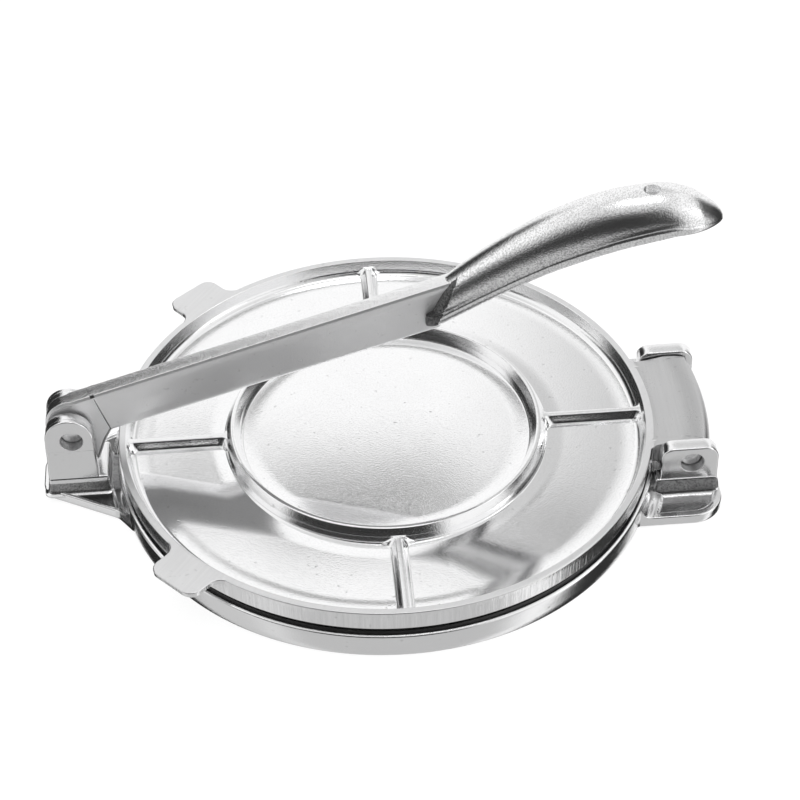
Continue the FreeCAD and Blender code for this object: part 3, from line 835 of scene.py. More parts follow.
    def clevis_parts(self) -> list[Piece]:
        """Make the clevis' block, ears and bosses and the lever's stop seat.

        Returns:
            The pieces, the block first and the seat last.
        """
        block = rounded_outline(rectangle((-126.9, -104.2), (-9.95, 9.95), 1.2, 1.2), 1.0, 6)
        profile = np.array([(-1.2, 10.3), (-0.8, 10.25), (-0.4, 10.05), (-0.12, 9.7), (0.0, 9.2),
                            (0.06, 8.0), (0.16, 6.0), (0.3, 4.95), (0.55, 4.25), (0.95, 3.7),
                            (1.45, 3.35), (2.0, 3.18), (2.0, 2.6)])
        pieces = [mound(block, profile).build("clevis_block")]
        for name, side in (("front", -1), ("rear", 1)):
            for part, outline, reach, edge in (
                    ("ear", self.clevis_outline(), (self.clevis_inner, self.clevis_outer),
                     self.ear_edge),
                    ("boss", self.boss_outline(), (self.clevis_outer - 2.0,
                                                   self.clevis_outer + 0.16), 0.45)):
                low, high = sorted(side * y for y in reach)
                slab = bored_slab(outline, self.lever, low, high, edge)
                pieces.append(slab.build(f"clevis_{part}_{name}"))
        seat = rounded_outline(rectangle((-124.0, -108.2), (-5.0, 5.0), 0.5, 0.5), 2.0, 3)
        profile = np.array([(-0.5, 12.0), (-0.15, 11.85), (0.0, 11.5), (0.0, 8.0)])
        return pieces + [mound(seat, profile).build("lever_stop_seat")]

    def clevis_outline(self) -> Array:
        """Side outline of a clevis ear: half round at the top on sides that flare to the foot.

        Returns:
            Rows of (x, z), counter-clockwise.
        """
        x, z, r = self.lever[0] - 1.0, self.lever[1] + 0.9, 8.7
        turn = np.linspace(0, math.pi, 37)
        arc = np.stack([x + r * np.cos(turn), z + r * np.sin(turn)], 1)
        near = np.array([x - r - 0.8, self.clevis_foot])
        far = np.array([x + r + 1.1, self.clevis_foot])
        share = np.linspace(0, 1, 14)[1:, None]
        left = arc[-1] + (near - arc[-1]) * share
        foot = level(np.linspace(left[-1, 0], far[0], 10)[1:, None], self.clevis_foot)
        return np.concatenate([arc, left, foot, far + (arc[0] - far) * share[:-1]])

    def boss_outline(self) -> Array:
        """Upper part of a clevis ear's outline, a hair wider, down to the parting line.

        Returns:
            Rows of (x, z), counter-clockwise.
        """
        ear = self.clevis_outline()
        upper = (ear + outward(ear) * 0.04)[ear[:, 1] > self.parting]
        turn = int(np.argmax(np.linalg.norm(np.diff(upper, axis=0), axis=1))) + 1
        upper = np.roll(upper, -turn, 0)
        return np.concatenate([upper, np.linspace(upper[-1], upper[0], 14)[1:-1]])

    def build(self) -> list[Piece]:
        """Make the bed and everything cast on it.

        Returns:
            The bed, its ribs, the hinge's blocks and ears, and the clevis with its stop seat.
        """
        return [self.bed().build("base_bed", 30.0),
                self.under_ribs().build("base_under_ribs", 30.0),
                *self.hinge_parts(), *self.clevis_parts()]

    def face_zones(self, piece: Piece) -> None:
        """Give the second slot to the clevis pocket's floor, painted as a dark reflection, the
        blocks' rough walls or the bores.

        Args:
            piece: Any piece of the base.
        """
        place, normal = face_places(piece)
        x, z = place[:, 0], place[:, 2]
        if piece.name == "base_bed":
            # painted reflection: the clevis pocket's floor is coloured near black for the dark
            # surroundings it mirrors
            floor = np.abs(z - (self.flange - self.pocket)) < 0.12
            set_zones(piece, floor & (x < -100.5) & (normal[:, 2] > 0.9))
        elif "block" in piece.name:
            low, high = (4.6, 8.6) if "hinge" in piece.name else (3.9, 7.4)
            set_zones(piece, (z > low) & (z < high))
        elif "ear" in piece.name or "boss" in piece.name:
            bore = self.hinge if "hinge" in piece.name else self.lever
            set_zones(piece, np.hypot(x - bore[0], z - bore[1]) < 4.45)


# ---- pins


@dataclass
class TurnedPin:
    """Plain round pin along Y with chamfered ends that sit back in their bores."""

    name: str
    x: float
    z: float
    radius: float
    reach: float
    chamfer: float = 0.5

    def build(self) -> Piece:
        """Turn the (y, r) profile about the pin's own axis.

        Returns:
            The pin.
        """
        reach, radius, c = self.reach, self.radius, self.chamfer
        half = [(reach, 0), (reach, radius * 0.5), (reach, radius - c),
                (reach - c * 0.4, radius - c * 0.3), (reach - c, radius)]
        profile = np.array([(-y, r) for y, r in half] + [(0, radius)] + half[::-1])
        turn = np.linspace(0, 2 * math.pi, 49)[:-1]
        y, r = profile[:, :1], profile[:, 1:]
        grid = np.stack([self.x + r * np.cos(turn), y + 0 * turn, self.z + r * np.sin(turn)], -1)
        return Surface().add(grid, wrap_columns=True).build(self.name, 30.0)


# ---- lever


@dataclass
class Lever:
    """Flat arm with its heel, and the domed handle that is hollow beneath."""

    pivot_x: float = -116.4
    pivot_z: float = 28.3
    bore: float = 4.33
    slope: float = math.radians(17.7)
    thickness: float = 7.0
    above: float = 12.5
    below: float = 5.3
    recess: float = 0.65
    recess_reach: float = 13.8
    shoulder: float = 0.7
    lip: float = 1.1
    edge: float = 1.0
    face_x: float = 14.9
    face_z: float = 74.0
    face_tilt: float = math.radians(24.0)
    arm_end: float = 28.9
    tip: float = 121.3
    nose: float = 13.0
    wall: float = 2.8
    skirt: float = 1.0
    root: float = 6.0
    root_share: float = 0.46
    hole_x: float = 95.3
    hole_radius: float = 3.0
    stations: tuple[tuple[float, float, float, float], ...] = (
        (14.0, 67.6, 7.4, 12.3), (20.4, 71.5, 8.0, 12.9), (25.0, 74.4, 8.4, 13.6),
        (36.7, 81.9, 9.6, 15.1), (47.9, 88.5, 10.5, 16.1), (59.4, 94.5, 11.3, 16.5),
        (70.5, 99.0, 11.9, 16.5), (81.8, 103.0, 12.4, 15.6), (89.1, 104.8, 12.4, 14.8),
        (96.8, 106.3, 12.2, 13.9), (104.5, 107.4, 11.6, 11.8), (110.7, 107.4, 10.4, 9.6),
        (115.4, 107.1, 9.0, 7.9), (121.3, 106.5, 7.0, 6.6))
    bead: tuple[tuple[float, float], ...] = (
        (-0.5, 0.0), (-0.15, 0.1), (0.12, 0.4), (0.25, 1.1), (0.3, 2.0), (0.22, 2.9),
        (0.05, 3.4), (-0.25, 3.75), (-0.42, 3.95), (-0.4, 4.2), (-0.15, 4.6))

    def arm_corner(self, along: float, above: float, radius: float) -> Point:
        """Corner along the sloping arm and square above the pivot, as (x, z, radius)."""
        x, z = turned(along, above, self.slope)
        return self.pivot_x + x, self.pivot_z + z, radius

    def arm_outline(self) -> Array:
        """Side outline of the arm, counter-clockwise seen with X to the right and Z up.

        Returns:
            Rows of (x, z).
        """
        reach = self.arm_end - self.pivot_x + self.above * math.sin(self.slope)
        reach /= math.cos(self.slope)
        x, z = self.pivot_x, self.pivot_z
        return rounded_outline(np.array([
            self.arm_corner(reach, self.above, 1.8), self.arm_corner(-8.5, self.above, 9.9),
            self.arm_corner(-8.5, -7.0, 6.0), (x + 3.4, z - 16.0, 1.3), (x + 8.6, z - 16.0, 1.3),
            (x + 11.9, z - 6.3, 6.0), self.arm_corner(14.0, -self.below, 3.0),
            self.arm_corner(reach - 14.6, -self.below, 1.8)]), 1.6, 14)

    def arm(self) -> Surface:
        """Arm as rays from the bore to the outline, with a shallow relief round the pivot.

        The relief's border is, on each ray, the nearer of the outline less the lip and the
        straight shoulder across the arm.

        Returns:
            The arm's surface, closed both ways.
        """
        outline = self.arm_outline()
        normal = outward(outline)
        centre = np.array([self.pivot_x, self.pivot_z])
        ray = outline - centre
        reach = np.linalg.norm(ray, axis=1)
        ray = ray / reach[:, None]
        forward = ray @ np.array([math.cos(self.slope), math.sin(self.slope)])
        aside = ray @ np.array([-math.sin(self.slope), math.cos(self.slope)])
        facing = np.clip(np.abs((ray * normal).sum(1)), 0.2, 1)
        has_lip = (aside > 0) | (outline[:, 1] > self.pivot_z - 9.0) & (forward < 0)
        border = reach - np.where(has_lip, self.lip / facing, 0.7)
        shoulder = self.recess_reach / np.clip(forward, 0.02, None)
        border = np.minimum(border, np.where(forward > 0.02, shoulder, np.inf))
        bore = centre + ray * self.bore
        inset = outline - normal * self.edge
        deep, chamfer = self.recess, 0.25
        inner = centre + ray * (border - self.shoulder)[:, None]
        rows = [(bore, deep + chamfer), (centre + ray * (self.bore + chamfer), deep)]
        rows += [(bore + (inner - bore) * share, deep) for share in (0.35, 0.7, 1.0)]
        outer = np.linalg.norm(inset - centre, axis=1)
        step = centre + ray * np.minimum(border + 0.15, outer - 0.02)[:, None]
        at_edge = border + 0.2 > outer
        rows.append((centre + ray * (border - 0.1)[:, None], np.where(at_edge, deep, deep * 0.12)))
        depth = np.where(at_edge, deep, 0.0)
        rows += [(step + (inset - step) * share, depth) for share in (0.0, 0.3, 0.6, 1.0)]
        edge_shares = (0.92, 0.03), (0.5, 0.26), (0.1, 0.46), (0.02, 0.58), (0.0, 0.75)
        rows += [(outline - normal * back * self.edge, depth + down * self.edge)
                 for back, down in edge_shares]
        half = self.thickness / 2
        near = [upright(flat, d - half) for flat, d in rows]
        return Surface().add(near + [upright(flat, half - d) for flat, d in rows[::-1]], True, True)

    def spine(self, x: Array) -> list[Array]:
        """Lower edge's height, half width and dome height at places along X."""
        at, *columns = np.array(self.stations).T
        return [hermite(at, column, x) for column in columns]

    def shell_grid(self, outer: bool) -> Array:
        """Outer or inner sheet of the handle as a grid, stations by turn over the dome.

        At each station the sheet is a half ellipse over the lower edge, with a bead along the
        outer edge. Width and height shrink by a quarter-ellipse towards the tip, and the first
        stations lean back with the slanting end face.

        Args:
            outer: Whether the outer sheet is meant.

        Returns:
            The grid of points.
        """
        wall, start = (0.0, 0.4) if outer else (self.wall, 2.6)
        tip = self.tip - wall
        turn = np.linspace(0, math.pi, 57)
        x0 = self.face_x + start
        first = x0 + self.root * (1 - np.cos(quarter(16)))
        share = 1 - (1 - np.linspace(0, 1, 90)[1:]) ** 1.35
        base = np.concatenate([first, first[-1] + (tip - first[-1]) * share])
        x = np.repeat(base[:, None], len(turn), 1)
        lean = np.clip(1 - (base - x0) / 38.0, 0, 1)[:, None] ** 1.3
        for _ in range(6):
            low, wide, tall = self.spine(x)
            z = low + np.sin(turn)[None] * tall
            x = base[:, None] + lean * math.tan(self.face_tilt) * (z - low[:, :1])
            x = np.minimum(x, tip)
        low, wide, tall = self.spine(x)
        past = np.clip(x - (tip - self.nose), 0, None) / self.nose
        close = np.sqrt(np.clip(1 - past ** 2, 0, 1))
        grown = np.clip((base - x0) / self.root, 0, 1)[:, None]
        wide = wide * (self.root_share + (1 - self.root_share) * np.sqrt(1 - (1 - grown) ** 2))
        wide = np.clip(wide - wall, 0.4, None) * close
        tall = (tall - wall) * close ** 0.9
        skirt = self.skirt * close
        grid = np.stack([x, -np.cos(turn)[None] * wide,
                         low + skirt + np.sin(turn)[None] * (tall - skirt)], -1)
        size = np.clip(tall[:, len(turn) // 2] / 14.0, 0.0, 1.0)

        def foot_line(column: int, side: int, sideways: float, up: float) -> Array:
            """Line along one lower edge, as a column of the grid.

            Args:
                column: The edge's column in the dome's grid.
                side: -1 for the front, 1 for the rear.
                sideways: How far the line stands out from the dome's edge.
                up: How far it lies above the lower edge.

            Returns:
                The line's points.
            """
            line = grid[:, column].copy()
            line[:, 2] = low[:, column] + up * size
            if outer:
                out = wide[:, column] + sideways * close[:, 0]
                line[:, 1] = side * np.clip(out, 0, None)
            return line[:, None]

        bead = self.bead if outer else ((0.0, 0.0),)
        body = np.sin(turn) * 14 > bead[-1][1] if outer else slice(None)
        return np.concatenate([*(foot_line(0, -1, *at) for at in bead), grid[:, body],
                               *(foot_line(-1, 1, *at) for at in bead[::-1])], 1)

    def handle(self) -> Surface:
        """Handle: outer and inner sheet joined along the lower edge and at the end face.

        Returns:
            The handle's surface.
        """
        outer, inner = self.shell_grid(True), self.shell_grid(False)
        surface = Surface().add(outer).add(inner[:, ::-1])
        for side in (0, -1):
            near, far = outer[:, side], inner[:, side]
            surface.add([near, (near + far) / 2, far])
        for face, shares, bulge in ((outer[0], (1.0, 0.985, 0.6, 0.0), 0.18),
                                    (inner[0], (1.0, 0.5, 0.0), 0.0)):
            middle = face.mean(0) * (1, 0, 1)
            surface.add([middle + (face - middle) * share - (bulge * (share < 1), 0, 0)
                         for share in shares])
        return surface.add([np.linspace(face[0], face[-1], 5) for face in (outer[0], inner[0])])

    def web(self) -> Surface:
        """Upright web under the handle's crown: a strip between two curves, closed all round.

        Returns:
            The web's surface.
        """
        x = np.linspace(20.5, 68.0, 40)
        low, _, tall = self.spine(x)
        foot, top, half, bevel = low + 2.0, low + tall - 1.6, 2.0, 0.4
        rows = np.stack([upright(np.stack([x, z], 1), y) for y, z in (
            (-half, foot + bevel), (bevel - half, foot), (half - bevel, foot),
            (half, foot + bevel), (half, top), (-half, top))])
        surface = Surface().add(rows, wrap_rows=True)
        for end in (0, -1):
            surface.add([rows[:3, end], rows[:2:-1, end]])
        return surface

    def drill(self, handle: Piece) -> None:
        """Cut the round hanging hole down through the handle's crown.

        Args:
            handle: The handle, changed in place.
        """
        turn = np.linspace(0, 2 * math.pi, 33)[:-1]
        rows = []
        for z, r in ((112.5, 0.0), (112.5, self.hole_radius), (116.0, self.hole_radius),
                     (124.0, self.hole_radius), (124.0, 0.0)):
            flat = np.stack([self.hole_x + r * np.cos(turn), r * np.sin(turn)], 1)
            rows.append(level(flat, z))
        cutter = Surface().add(rows, wrap_columns=True).build("hole_cutter", 30.0)
        cut = handle.modifiers.new("hanging_hole", "BOOLEAN")
        cut.operation = "DIFFERENCE"
        cut.solver = "EXACT"
        cut.object = cutter
        view = bpy.context.evaluated_depsgraph_get()
        result = bpy.data.meshes.new_from_object(handle.evaluated_get(view))
        handle.modifiers.clear()
        handle.data = result
        result.set_sharp_from_angle(angle=math.radians(38.0))
        bpy.data.objects.remove(cutter, do_unlink=True)

    def build(self) -> list[Piece]:
        """Make the arm, the handle with its hanging hole, and the web inside.

        Returns:
            The pieces of the lever.
        """
        arm = self.arm().build("lever_arm", 30.0)
        handle = self.handle().build("lever_handle", 38.0)
        self.drill(handle)
        return [arm, handle, self.web().build("lever_web")]

    def face_zones(self, arm: Piece, handle: Piece) -> None:
        """Give the arm's and the handle's parts their own slots.

        Args:
            arm: The arm; the relief's shoulder gets the second slot, a painted shade line, the
                narrow faces the third.
            handle: The handle; the grainy turn at its root gets the second slot, with painted
                shade.
        """
        place, normal = face_places(arm)
        x, z = place[:, 0] - self.pivot_x, place[:, 2] - self.pivot_z
        along = x * math.cos(self.slope) + z * math.sin(self.slope) - self.recess_reach
        flank = np.abs(normal[:, 1])
        # painted shade: the relief's shoulder is coloured near black as a dark crease line
        shoulder = (along > -0.9) & (along < 0.3) & (flank < 0.93) & (np.abs(place[:, 1]) > 2.6)
        set_zones(arm, np.where(shoulder, 1, np.where(flank < 0.35, 2, 0)))
        place, normal = face_places(handle)
        along = place[:, 0] - math.tan(self.face_tilt) * (place[:, 2] - self.face_z + 5.9)
        # painted shade: the handle's root next to the arm is coloured near black; its grain and
        # pits are the casting's own
        root = (along < self.face_x + 2.8) & (np.abs(place[:, 1]) > 3.0) & (normal[:, 2] > -0.6)
        set_zones(handle, root)


# ---- finishes


@dataclass
class NodeSet:
    """A node tree with short helpers for adding and joining nodes."""

    tree: Tree

    def feed(self, entry: Socket, value: object) -> None:
        """Join a socket to an input, or set the input to a plain value.

        Args:
            entry: The input.
            value: The socket or value.
        """
        if isinstance(value, Socket):
            self.tree.links.new(value, entry)
        else:
            entry.default_value = value

    def node(self, kind: str, **settings: object) -> bpy.types.ShaderNode:
        """Add a node.

        Args:
            kind: The node's type.
            **settings: Values or sockets for its properties or, with underscores in place of
                spaces, its inputs.

        Returns:
            The node.
        """
        made = self.tree.nodes.new(kind)
        for key, value in settings.items():
            if hasattr(made, key):
                setattr(made, key, value)
            else:
                self.feed(made.inputs[key.replace("_", " ")], value)
        return made

    def group(self, tree: Tree, **settings: object) -> bpy.types.NodeOutputs:
        """Add a node group and give its outputs."""
        return self.node("ShaderNodeGroup", node_tree=tree, **settings).outputs

    def math(self, operation: str, a: Value, b: Value = 0.0, clamp: bool = False) -> Socket:
        """Add a Math node.

        Args:
            operation: What the node works out.
            a: First socket or number.
            b: Second socket or number.
            clamp: Whether the result is held within 0 and 1.

        Returns:
            The node's output.
        """
        made = self.node("ShaderNodeMath", operation=operation, use_clamp=clamp)
        self.feed(made.inputs[0], a)
        self.feed(made.inputs[1], b)
        return made.outputs[0]

    def times(self, a: Value, b: Value, clamp: bool = False) -> Socket:
        """Product of two sockets or numbers."""
        return self.math("MULTIPLY", a, b, clamp)

    def plus(self, a: Value, b: Value, clamp: bool = False) -> Socket:
        """Sum of two sockets or numbers."""
        return self.math("ADD", a, b, clamp)

    def minus(self, a: Value, b: Value) -> Socket:
        """Difference of two sockets or numbers."""
        return self.math("SUBTRACT", a, b)

    def noise(self, vector: Socket, scale: Value, detail: float, roughness: float) -> Socket:
        """Add a Noise Texture and give its value."""
        return self.node("ShaderNodeTexNoise", Vector=vector, Scale=scale, Detail=detail,
                         Roughness=roughness).outputs[0]

    def ramp(self, value: Socket, low: float, high: float) -> Socket:
        """Stretch a value from low..high to 0..1 and clamp it."""
        return self.node("ShaderNodeMapRange", Value=value, From_Min=low, From_Max=high).outputs[0]


def new_group(name: str, inputs: dict[str, float], outputs: tuple[str, ...]
              ) -> tuple[NodeSet, bpy.types.NodeOutputs, bpy.types.ShaderNode]:
    """Shader node group with a Vector input, named number inputs and named number outputs.

    Args:
        name: The group's name.
        inputs: Input names and their defaults.
        outputs: Output names.

    Returns:
        The group's node set, the sockets that come in and the node whose inputs go out.
    """
    tree = bpy.data.node_groups.new(name, "ShaderNodeTree")
    tree.interface.new_socket("Vector", in_out="INPUT", socket_type="NodeSocketVector")
    for key, value in inputs.items():
        socket = tree.interface.new_socket(key, in_out="INPUT", socket_type="NodeSocketFloat")
        socket.default_value = value
    for key in outputs:
        tree.interface.new_socket(key, in_out="OUTPUT", socket_type="NodeSocketFloat")
    n = NodeSet(tree)
    return n, n.node("NodeGroupInput").outputs, n.node("NodeGroupOutput")


def casting_grain_group() -> Tree:
    """Grain of a polished casting: fine specks, soft clouds and rare pits.

    Returns:
        The group, with a height and the three masks as outputs.
    """
    n, enter, leave = new_group("casting_grain", {"Scale": 1.0, "Pits": 0.5},
                                ("Height", "Speck", "Cloud", "Pit"))
    speck, cloud, pit = (
        n.noise(enter["Vector"], n.times(enter["Scale"], size), detail, roughness)
        for size, detail, roughness in ((1700.0, 2.0, 0.7), (60.0, 3.0, 0.6), (420.0, 1.0, 0.5)))
    hole = n.times(n.ramp(pit, 0.70, 0.80), enter["Pits"], True)
    n.feed(leave.inputs["Height"], n.minus(n.times(speck, 0.5), hole))
    for key, value in (("Speck", speck), ("Cloud", cloud), ("Pit", hole)):
        n.feed(leave.inputs[key], value)
    return n.tree


def brushing_group() -> Tree:
    """Straight brush lines: noise that the incoming vector stretches along one axis.

    Returns:
        The group, with the lines and a height as outputs.
    """
    n, enter, leave = new_group("brushing", {"Fineness": 1.0}, ("Line", "Height"))
    line = n.noise(enter["Vector"], n.times(enter["Fineness"], 900.0), 3.0, 0.65)
    n.feed(leave.inputs["Line"], line)
    n.feed(leave.inputs["Height"], n.ramp(line, 0.3, 0.7))
    return n.tree


def soft_card_group() -> Tree:
    """Mask of one soft card: smooth steps in azimuth and height round the incoming direction.

    Returns:
        The group, with the mask as output.
    """
    n, enter, leave = new_group("soft_card", {"Azimuth": 0.0, "Half Width": 10.0, "Low": 0.0,
                                              "High": 30.0, "Soft": 8.0}, ("Mask",))
    x, y, z = n.node("ShaderNodeSeparateXYZ", Vector=enter["Vector"]).outputs
    degree = 180 / math.pi
    turn = n.times(n.math("ARCTAN2", x, y), degree)
    rise = n.times(n.math("ARCSINE", z), degree)
    wrap = n.node("ShaderNodeMath", operation="WRAP")
    for entry, value in zip(wrap.inputs, (n.minus(turn, enter["Azimuth"]), 180.0, -180.0)):
        n.feed(entry, value)
    aside = n.math("ABSOLUTE", wrap.outputs[0])
    mask: Value = 1.0
    edges = (aside, "Half Width", -1.0), (rise, "Low", 1.0), (rise, "High", -1.0)
    for value, edge, sign in edges:
        past = n.times(n.minus(value, enter[edge]), sign)
        share = n.plus(n.times(n.math("DIVIDE", past, enter["Soft"]), 0.5), 0.5, True)
        smooth = n.times(n.times(share, share), n.minus(3.0, n.times(share, 2.0)))
        mask = n.times(mask, smooth)
    n.feed(leave.inputs["Mask"], mask)
    return n.tree


class Brush(Enum):
    """Brushing of a surface: its turn about Z in degrees and its stretch along X, Y and Z."""

    NONE = (0.0, (1.0, 1.0, 1.0))
    ALONG_X = (0.0, (0.03, 1.0, 1.0))
    ALONG_Y = (0.0, (1.0, 0.03, 1.0))
    SLANTED = (35.0, (1.0, 0.03, 1.0))
    UPRIGHT = (0.0, (1.0, 1.0, 0.03))


@dataclass(frozen=True)
class Finish:
    """One aluminium or steel finish."""

    name: str
    tone: float
    roughness: float
    roughness_spread: float = 0.08
    grain: float = 0.25
    pits: float = 0.4
    tint: float = 0.05
    speckle: float = 0.0
    brush: Brush = Brush.NONE
    brush_strength: float = 0.0

    def material(self, grain: Tree, brushing: Tree) -> bpy.types.Material:
        """Build the node material.

        Args:
            grain: The casting grain group.
            brushing: The brush line group.

        Returns:
            The finished material.
        """
        made = bpy.data.materials.new(self.name)
        made.use_nodes = True
        made.node_tree.nodes.clear()
        n = NodeSet(made.node_tree)
        place = n.node("ShaderNodeTexCoord").outputs["Object"]
        cast = n.group(grain, Vector=place, Pits=self.pits)
        fleck = n.ramp(cast["Speck"], 0.46, 0.60)
        shade: Value = 1.0 + self.tint / 2
        for mask, depth in ((cast["Cloud"], self.tint), (cast["Pit"], 0.35), (fleck, self.speckle)):
            shade = n.minus(shade, n.times(mask, depth))
        normal = n.node("ShaderNodeBump", Strength=self.grain, Distance=0.0004,
                        Height=cast["Height"]).outputs[0]
        if self.brush_strength > 0:
            turn, stretch = self.brush.value
            lay = n.node("ShaderNodeMapping", Vector=place, Rotation=(0.0, 0.0, math.radians(turn)))
            lay = n.node("ShaderNodeMapping", Vector=lay.outputs[0], Scale=stretch)
            lines = n.group(brushing, Vector=lay.outputs[0])
            streak = n.times(n.minus(lines["Line"], 0.5), self.brush_strength * 0.6)
            shade = n.plus(shade, streak)
            normal = n.node("ShaderNodeBump", Strength=self.brush_strength, Distance=0.0001,
                            Height=lines["Height"], Normal=normal).outputs[0]
        colour = n.node("ShaderNodeMix", data_type="RGBA", blend_type="MULTIPLY")
        neutral = (self.tone, self.tone, self.tone * 1.004, 1.0)
        for i, value in ((0, 1.0), (6, neutral), (7, shade)):
            n.feed(colour.inputs[i], value)
        cloud = n.times(n.minus(cast["Cloud"], 0.5), self.roughness_spread)
        speck = n.times(n.minus(cast["Speck"], 0.5), self.roughness_spread * 1.5)
        rough = n.plus(n.plus(self.roughness, cloud), speck, True)
        shader = n.node("ShaderNodeBsdfPrincipled", Metallic=1.0, Base_Color=colour.outputs[2],
                        Roughness=rough, Normal=normal)
        n.node("ShaderNodeOutputMaterial", Surface=shader.outputs[0])
        return made


FINISHES = (
    Finish("polished_floor", 0.98, 0.06, roughness_spread=0.03, grain=0.05, speckle=0.05),
    Finish("ground_top", 0.78, 0.36, grain=0.15, brush=Brush.SLANTED, brush_strength=0.25),
    Finish("brushed_tongue", 0.56, 0.30, grain=0.15, brush=Brush.ALONG_Y, brush_strength=0.3),
    Finish("ground_wall", 0.92, 0.17, grain=0.15, brush=Brush.UPRIGHT, brush_strength=0.5),
    Finish("satin_casting", 0.92, 0.15, grain=0.2),
    Finish("lever_sides", 0.90, 0.45, grain=0.3, tint=0.10),
    Finish("sawn_top", 0.92, 0.17, grain=0.2, brush=Brush.ALONG_X, brush_strength=0.25),
    # painted shade along the arm relief's shoulder
    Finish("shoulder_painted_shade", 0.12, 0.5, grain=0.3),
    Finish("drilled_bore", 0.75, 0.5, grain=0.2),
    # painted shade at the handle's root where it meets the arm, over real grain and pits
    Finish("root_grain_and_painted_shade", 0.16, 0.35, grain=0.6, pits=0.6, speckle=0.7),
    Finish("grainy_grip", 0.97, 0.21, grain=0.35, pits=0.3, speckle=0.26),
    Finish("foundry_skin", 0.42, 0.35, grain=0.6, pits=0.6, speckle=0.5),
    # painted dark reflection on the clevis pocket's floor
    Finish("pocket_painted_dark_reflection", 0.16, 0.18, grain=0.2),
    # painted shadow for the gap between the plate's rim step and the bed
    Finish("step_painted_shadow", 0.10, 0.5, grain=0.3),
    Finish("pin_steel", 0.9, 0.2, grain=0.15, pits=0.1),
)


# ---- studio


@dataclass(frozen=True)
class Card:
    """Soft card in the surround, in degrees: azimuth from the rear to the right, and height."""

    azimuth: float
    half_width: float
    low: float
    high: float
    level: float
    soft: float


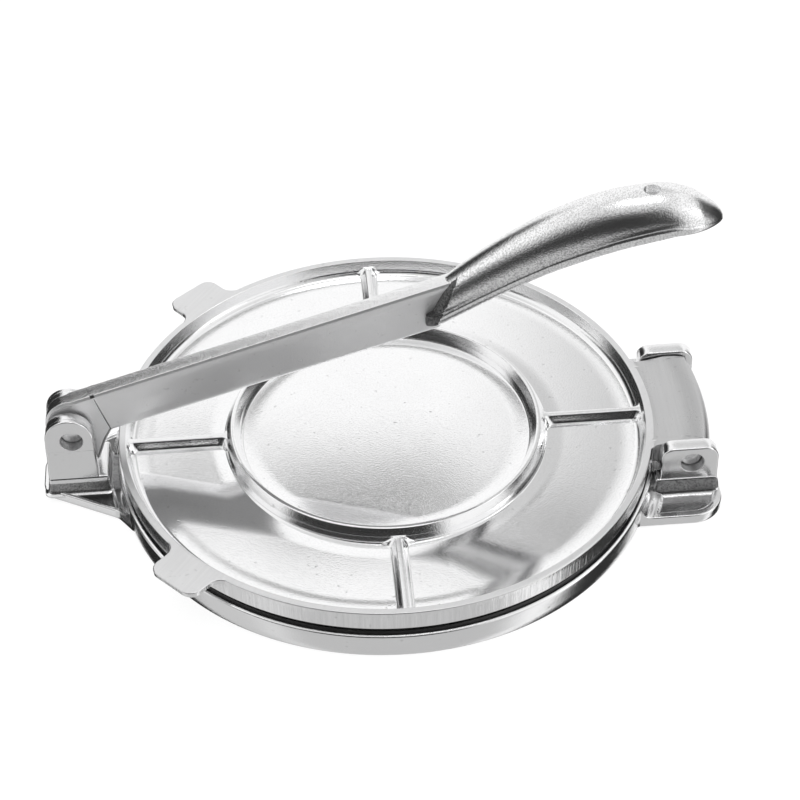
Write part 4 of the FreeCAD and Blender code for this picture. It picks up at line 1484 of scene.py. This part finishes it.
@dataclass
class Studio:
    """Pale floor, soft light and the camera at the photograph's angle."""

    azimuth: float = math.radians(-3.790)
    elevation: float = math.radians(41.293)
    roll: float = math.radians(-1.2156)
    distance: float = 0.86544
    focal_share: float = 2267.88 / 800
    film: float = 36.0
    shift_right: float = 0.005121
    shift_up: float = 0.022774
    floor_size: float = 12.0
    cards: tuple[Card, ...] = (
        Card(-49.0, 24.0, -95.0, 36.0, 0.02, 5.0),
        Card(74.0, 26.0, -95.0, 30.0, 0.03, 7.0),
        Card(-160.0, 50.0, 0.0, 30.0, 0.03, 6.0),
        Card(180.0, 55.0, -95.0, 0.0, 0.54, 10.0),
        Card(-95.0, 25.0, -95.0, 0.0, 0.6, 12.0),
        Card(23.5, 15.0, 34.0, 52.0, 0.62, 3.5),
        Card(-170.0, 50.0, 30.0, 62.0, 0.55, 12.0),
        Card(-172.0, 29.0, 24.0, 56.0, 0.03, 6.0),
        Card(0.0, 180.0, 60.0, 96.0, 0.74, 8.0),
        Card(-3.4, 1.8, 42.4, 43.6, 0.2, 0.8),
        Card(2.4, 3.4, 43.2, 44.5, 0.0, 0.6),
        Card(8.3, 2.4, 44.0, 45.2, 0.25, 0.7),
    )
    panels: tuple[tuple[str, Point, float], ...] = (
        ("panel_above", (0.15, 0.1, 1.6), 1.2), ("panel_right", (1.3, -0.3, 0.8), 1.0))
    panel_size: float = 0.5

    def camera(self) -> None:
        """Place the camera: back from the origin along the view, moved aside, rolled a little."""
        a, e, r = self.azimuth, self.elevation, self.roll
        back = Vector((math.sin(a) * math.cos(e), -math.cos(a) * math.cos(e), math.sin(e)))
        right = Vector((math.cos(a), math.sin(a), 0))
        up = back.cross(right)
        side = right * math.cos(r) + up * math.sin(r)
        top = -right * math.sin(r) + up * math.cos(r)
        data = bpy.data.cameras.new("camera")
        data.sensor_width = self.film
        data.lens = self.film * self.focal_share
        camera = link_object("camera", data)
        camera.matrix_world = Matrix((side, top, back)).transposed().to_4x4()
        camera.location = back * self.distance + side * self.shift_right + top * self.shift_up
        bpy.context.scene.camera = camera

    def floor(self) -> None:
        """Lay a wide pale floor on the level that the press stands on."""
        mesh = bpy.data.meshes.new("floor")
        s = self.floor_size / 2
        mesh.from_pydata([(-s, -s, 0), (s, -s, 0), (s, s, 0), (-s, s, 0)], [], [(0, 1, 2, 3)])
        floor = link_object("floor", mesh)
        made = bpy.data.materials.new("pale_floor")
        made.use_nodes = True
        shader = made.node_tree.nodes["Principled BSDF"]
        for key, value in (("Base Color", (0.3, 0.3, 0.3, 1)), ("Roughness", 1.0),
                           ("Specular IOR Level", 0.0), ("Emission Color", (1, 1, 1, 1)),
                           ("Emission Strength", 0.8)):
            shader.inputs[key].default_value = value
        mesh.materials.append(made)
        floor.visible_glossy = False

    def surround(self) -> None:
        """White surround whose reflections meet the studio's soft dark cards."""
        world = bpy.data.worlds.new("surround")
        bpy.context.scene.world = world
        world.use_nodes = True
        world.node_tree.nodes.clear()
        n = NodeSet(world.node_tree)
        direction = n.node("ShaderNodeTexCoord").outputs["Generated"]
        group = soft_card_group()
        strength: Value = 1.0
        for card in self.cards:
            mask = n.group(group, Vector=direction, Azimuth=card.azimuth, Low=card.low,
                           Half_Width=card.half_width, High=card.high, Soft=card.soft)
            strength = n.times(strength, n.minus(1.0, n.times(mask[0], 1.0 - card.level)))
        white = (1, 1, 1, 1)
        seen = n.node("ShaderNodeBackground", Color=white)
        mirrored = n.node("ShaderNodeBackground", Color=white, Strength=strength)
        mix = n.node("ShaderNodeMixShader")
        glossy = n.node("ShaderNodeLightPath").outputs["Is Glossy Ray"]
        for entry, value in zip(mix.inputs, (glossy, seen.outputs[0], mirrored.outputs[0])):
            n.feed(entry, value)
        n.node("ShaderNodeOutputWorld", Surface=mix.outputs[0])

    def lights(self) -> None:
        """Soft panels above the press."""
        for name, spot, power in self.panels:
            data = bpy.data.lights.new(name, "AREA")
            data.shape = "DISK"
            data.size = self.panel_size
            data.energy = power
            light = link_object(name, data)
            light.location = spot
            aim = Vector((0, 0, 0.03)) - Vector(spot)
            light.rotation_euler = aim.to_track_quat("-Z", "Y").to_euler()

    def build(self) -> None:
        """Set up colours, camera, floor and light."""
        bpy.context.scene.view_settings.view_transform = "Standard"
        bpy.context.scene.view_settings.look = "None"
        self.camera()
        self.floor()
        self.surround()
        self.lights()


def dress(piece: Piece, materials: list[bpy.types.Material], body: Body,
          slot: Slot = Slot.ALUMINIUM) -> None:
    """Give a piece its materials and body.

    Args:
        piece: The piece.
        materials: Its finishes, in the order of its face zones.
        body: The body it rides on.
        slot: The record's slot it belongs to; not used.
    """
    piece.data.materials.clear()
    for material in materials:
        piece.data.materials.append(material)
    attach(piece, body.value)
    LOG.info("%s: %d faces, rides on %s", piece.name, len(piece.data.polygons), body.value)


def main() -> None:
    """Build the press and its studio, piece by piece."""
    logging.basicConfig(level=logging.INFO, format="%(message)s")
    Studio().build()
    groups = casting_grain_group(), brushing_group()
    made = {finish.name: finish.material(*groups) for finish in FINISHES}
    satin = made["satin_casting"]
    top = TopPlate()
    plate, ribs = top.build()
    # the fifth finish is the painted shadow on the rim's step over the bed
    dress(plate, [made["polished_floor"], made["ground_top"], made["ground_wall"], satin,
                  made["step_painted_shadow"], made["brushed_tongue"]], Body.PLATE)
    top.face_zones(plate)
    dress(ribs, [satin], Body.PLATE)
    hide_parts("top_plate")
    base = BasePlate()
    for piece in base.build():
        second = "drilled_bore"
        if piece.name == "base_bed":
            # the bed's second finish is the painted dark reflection in the clevis pocket
            second = "pocket_painted_dark_reflection"
            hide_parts("base_plate")
        elif "block" in piece.name:
            second = "foundry_skin"
        dress(piece, [satin, made[second]], Body.BASE)
        base.face_zones(piece)
    lever = Lever()
    arm, handle, web = lever.build()
    # the arm's second finish is the painted shade on the relief's shoulder
    dress(arm, [made["lever_sides"], made["shoulder_painted_shade"], made["sawn_top"]], Body.LEVER)
    # the handle's second finish is the painted shade at its root
    for piece in (handle, web):
        dress(piece, [made["grainy_grip"], made["root_grain_and_painted_shade"]], Body.LEVER)
    lever.face_zones(arm, handle)
    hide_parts("lever")
    for name, (x, z, _), radius, reach in (("hinge_pin", base.hinge, 4.0, 27.2),
                                           ("lever_pin", base.lever, 4.1, 5.6)):
        pin = TurnedPin("turned_" + name, x, z, radius, reach).build()
        dress(pin, [made["pin_steel"]], Body.BASE, Slot.STEEL)
        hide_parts(name)


if __name__ == "__main__":
    main()
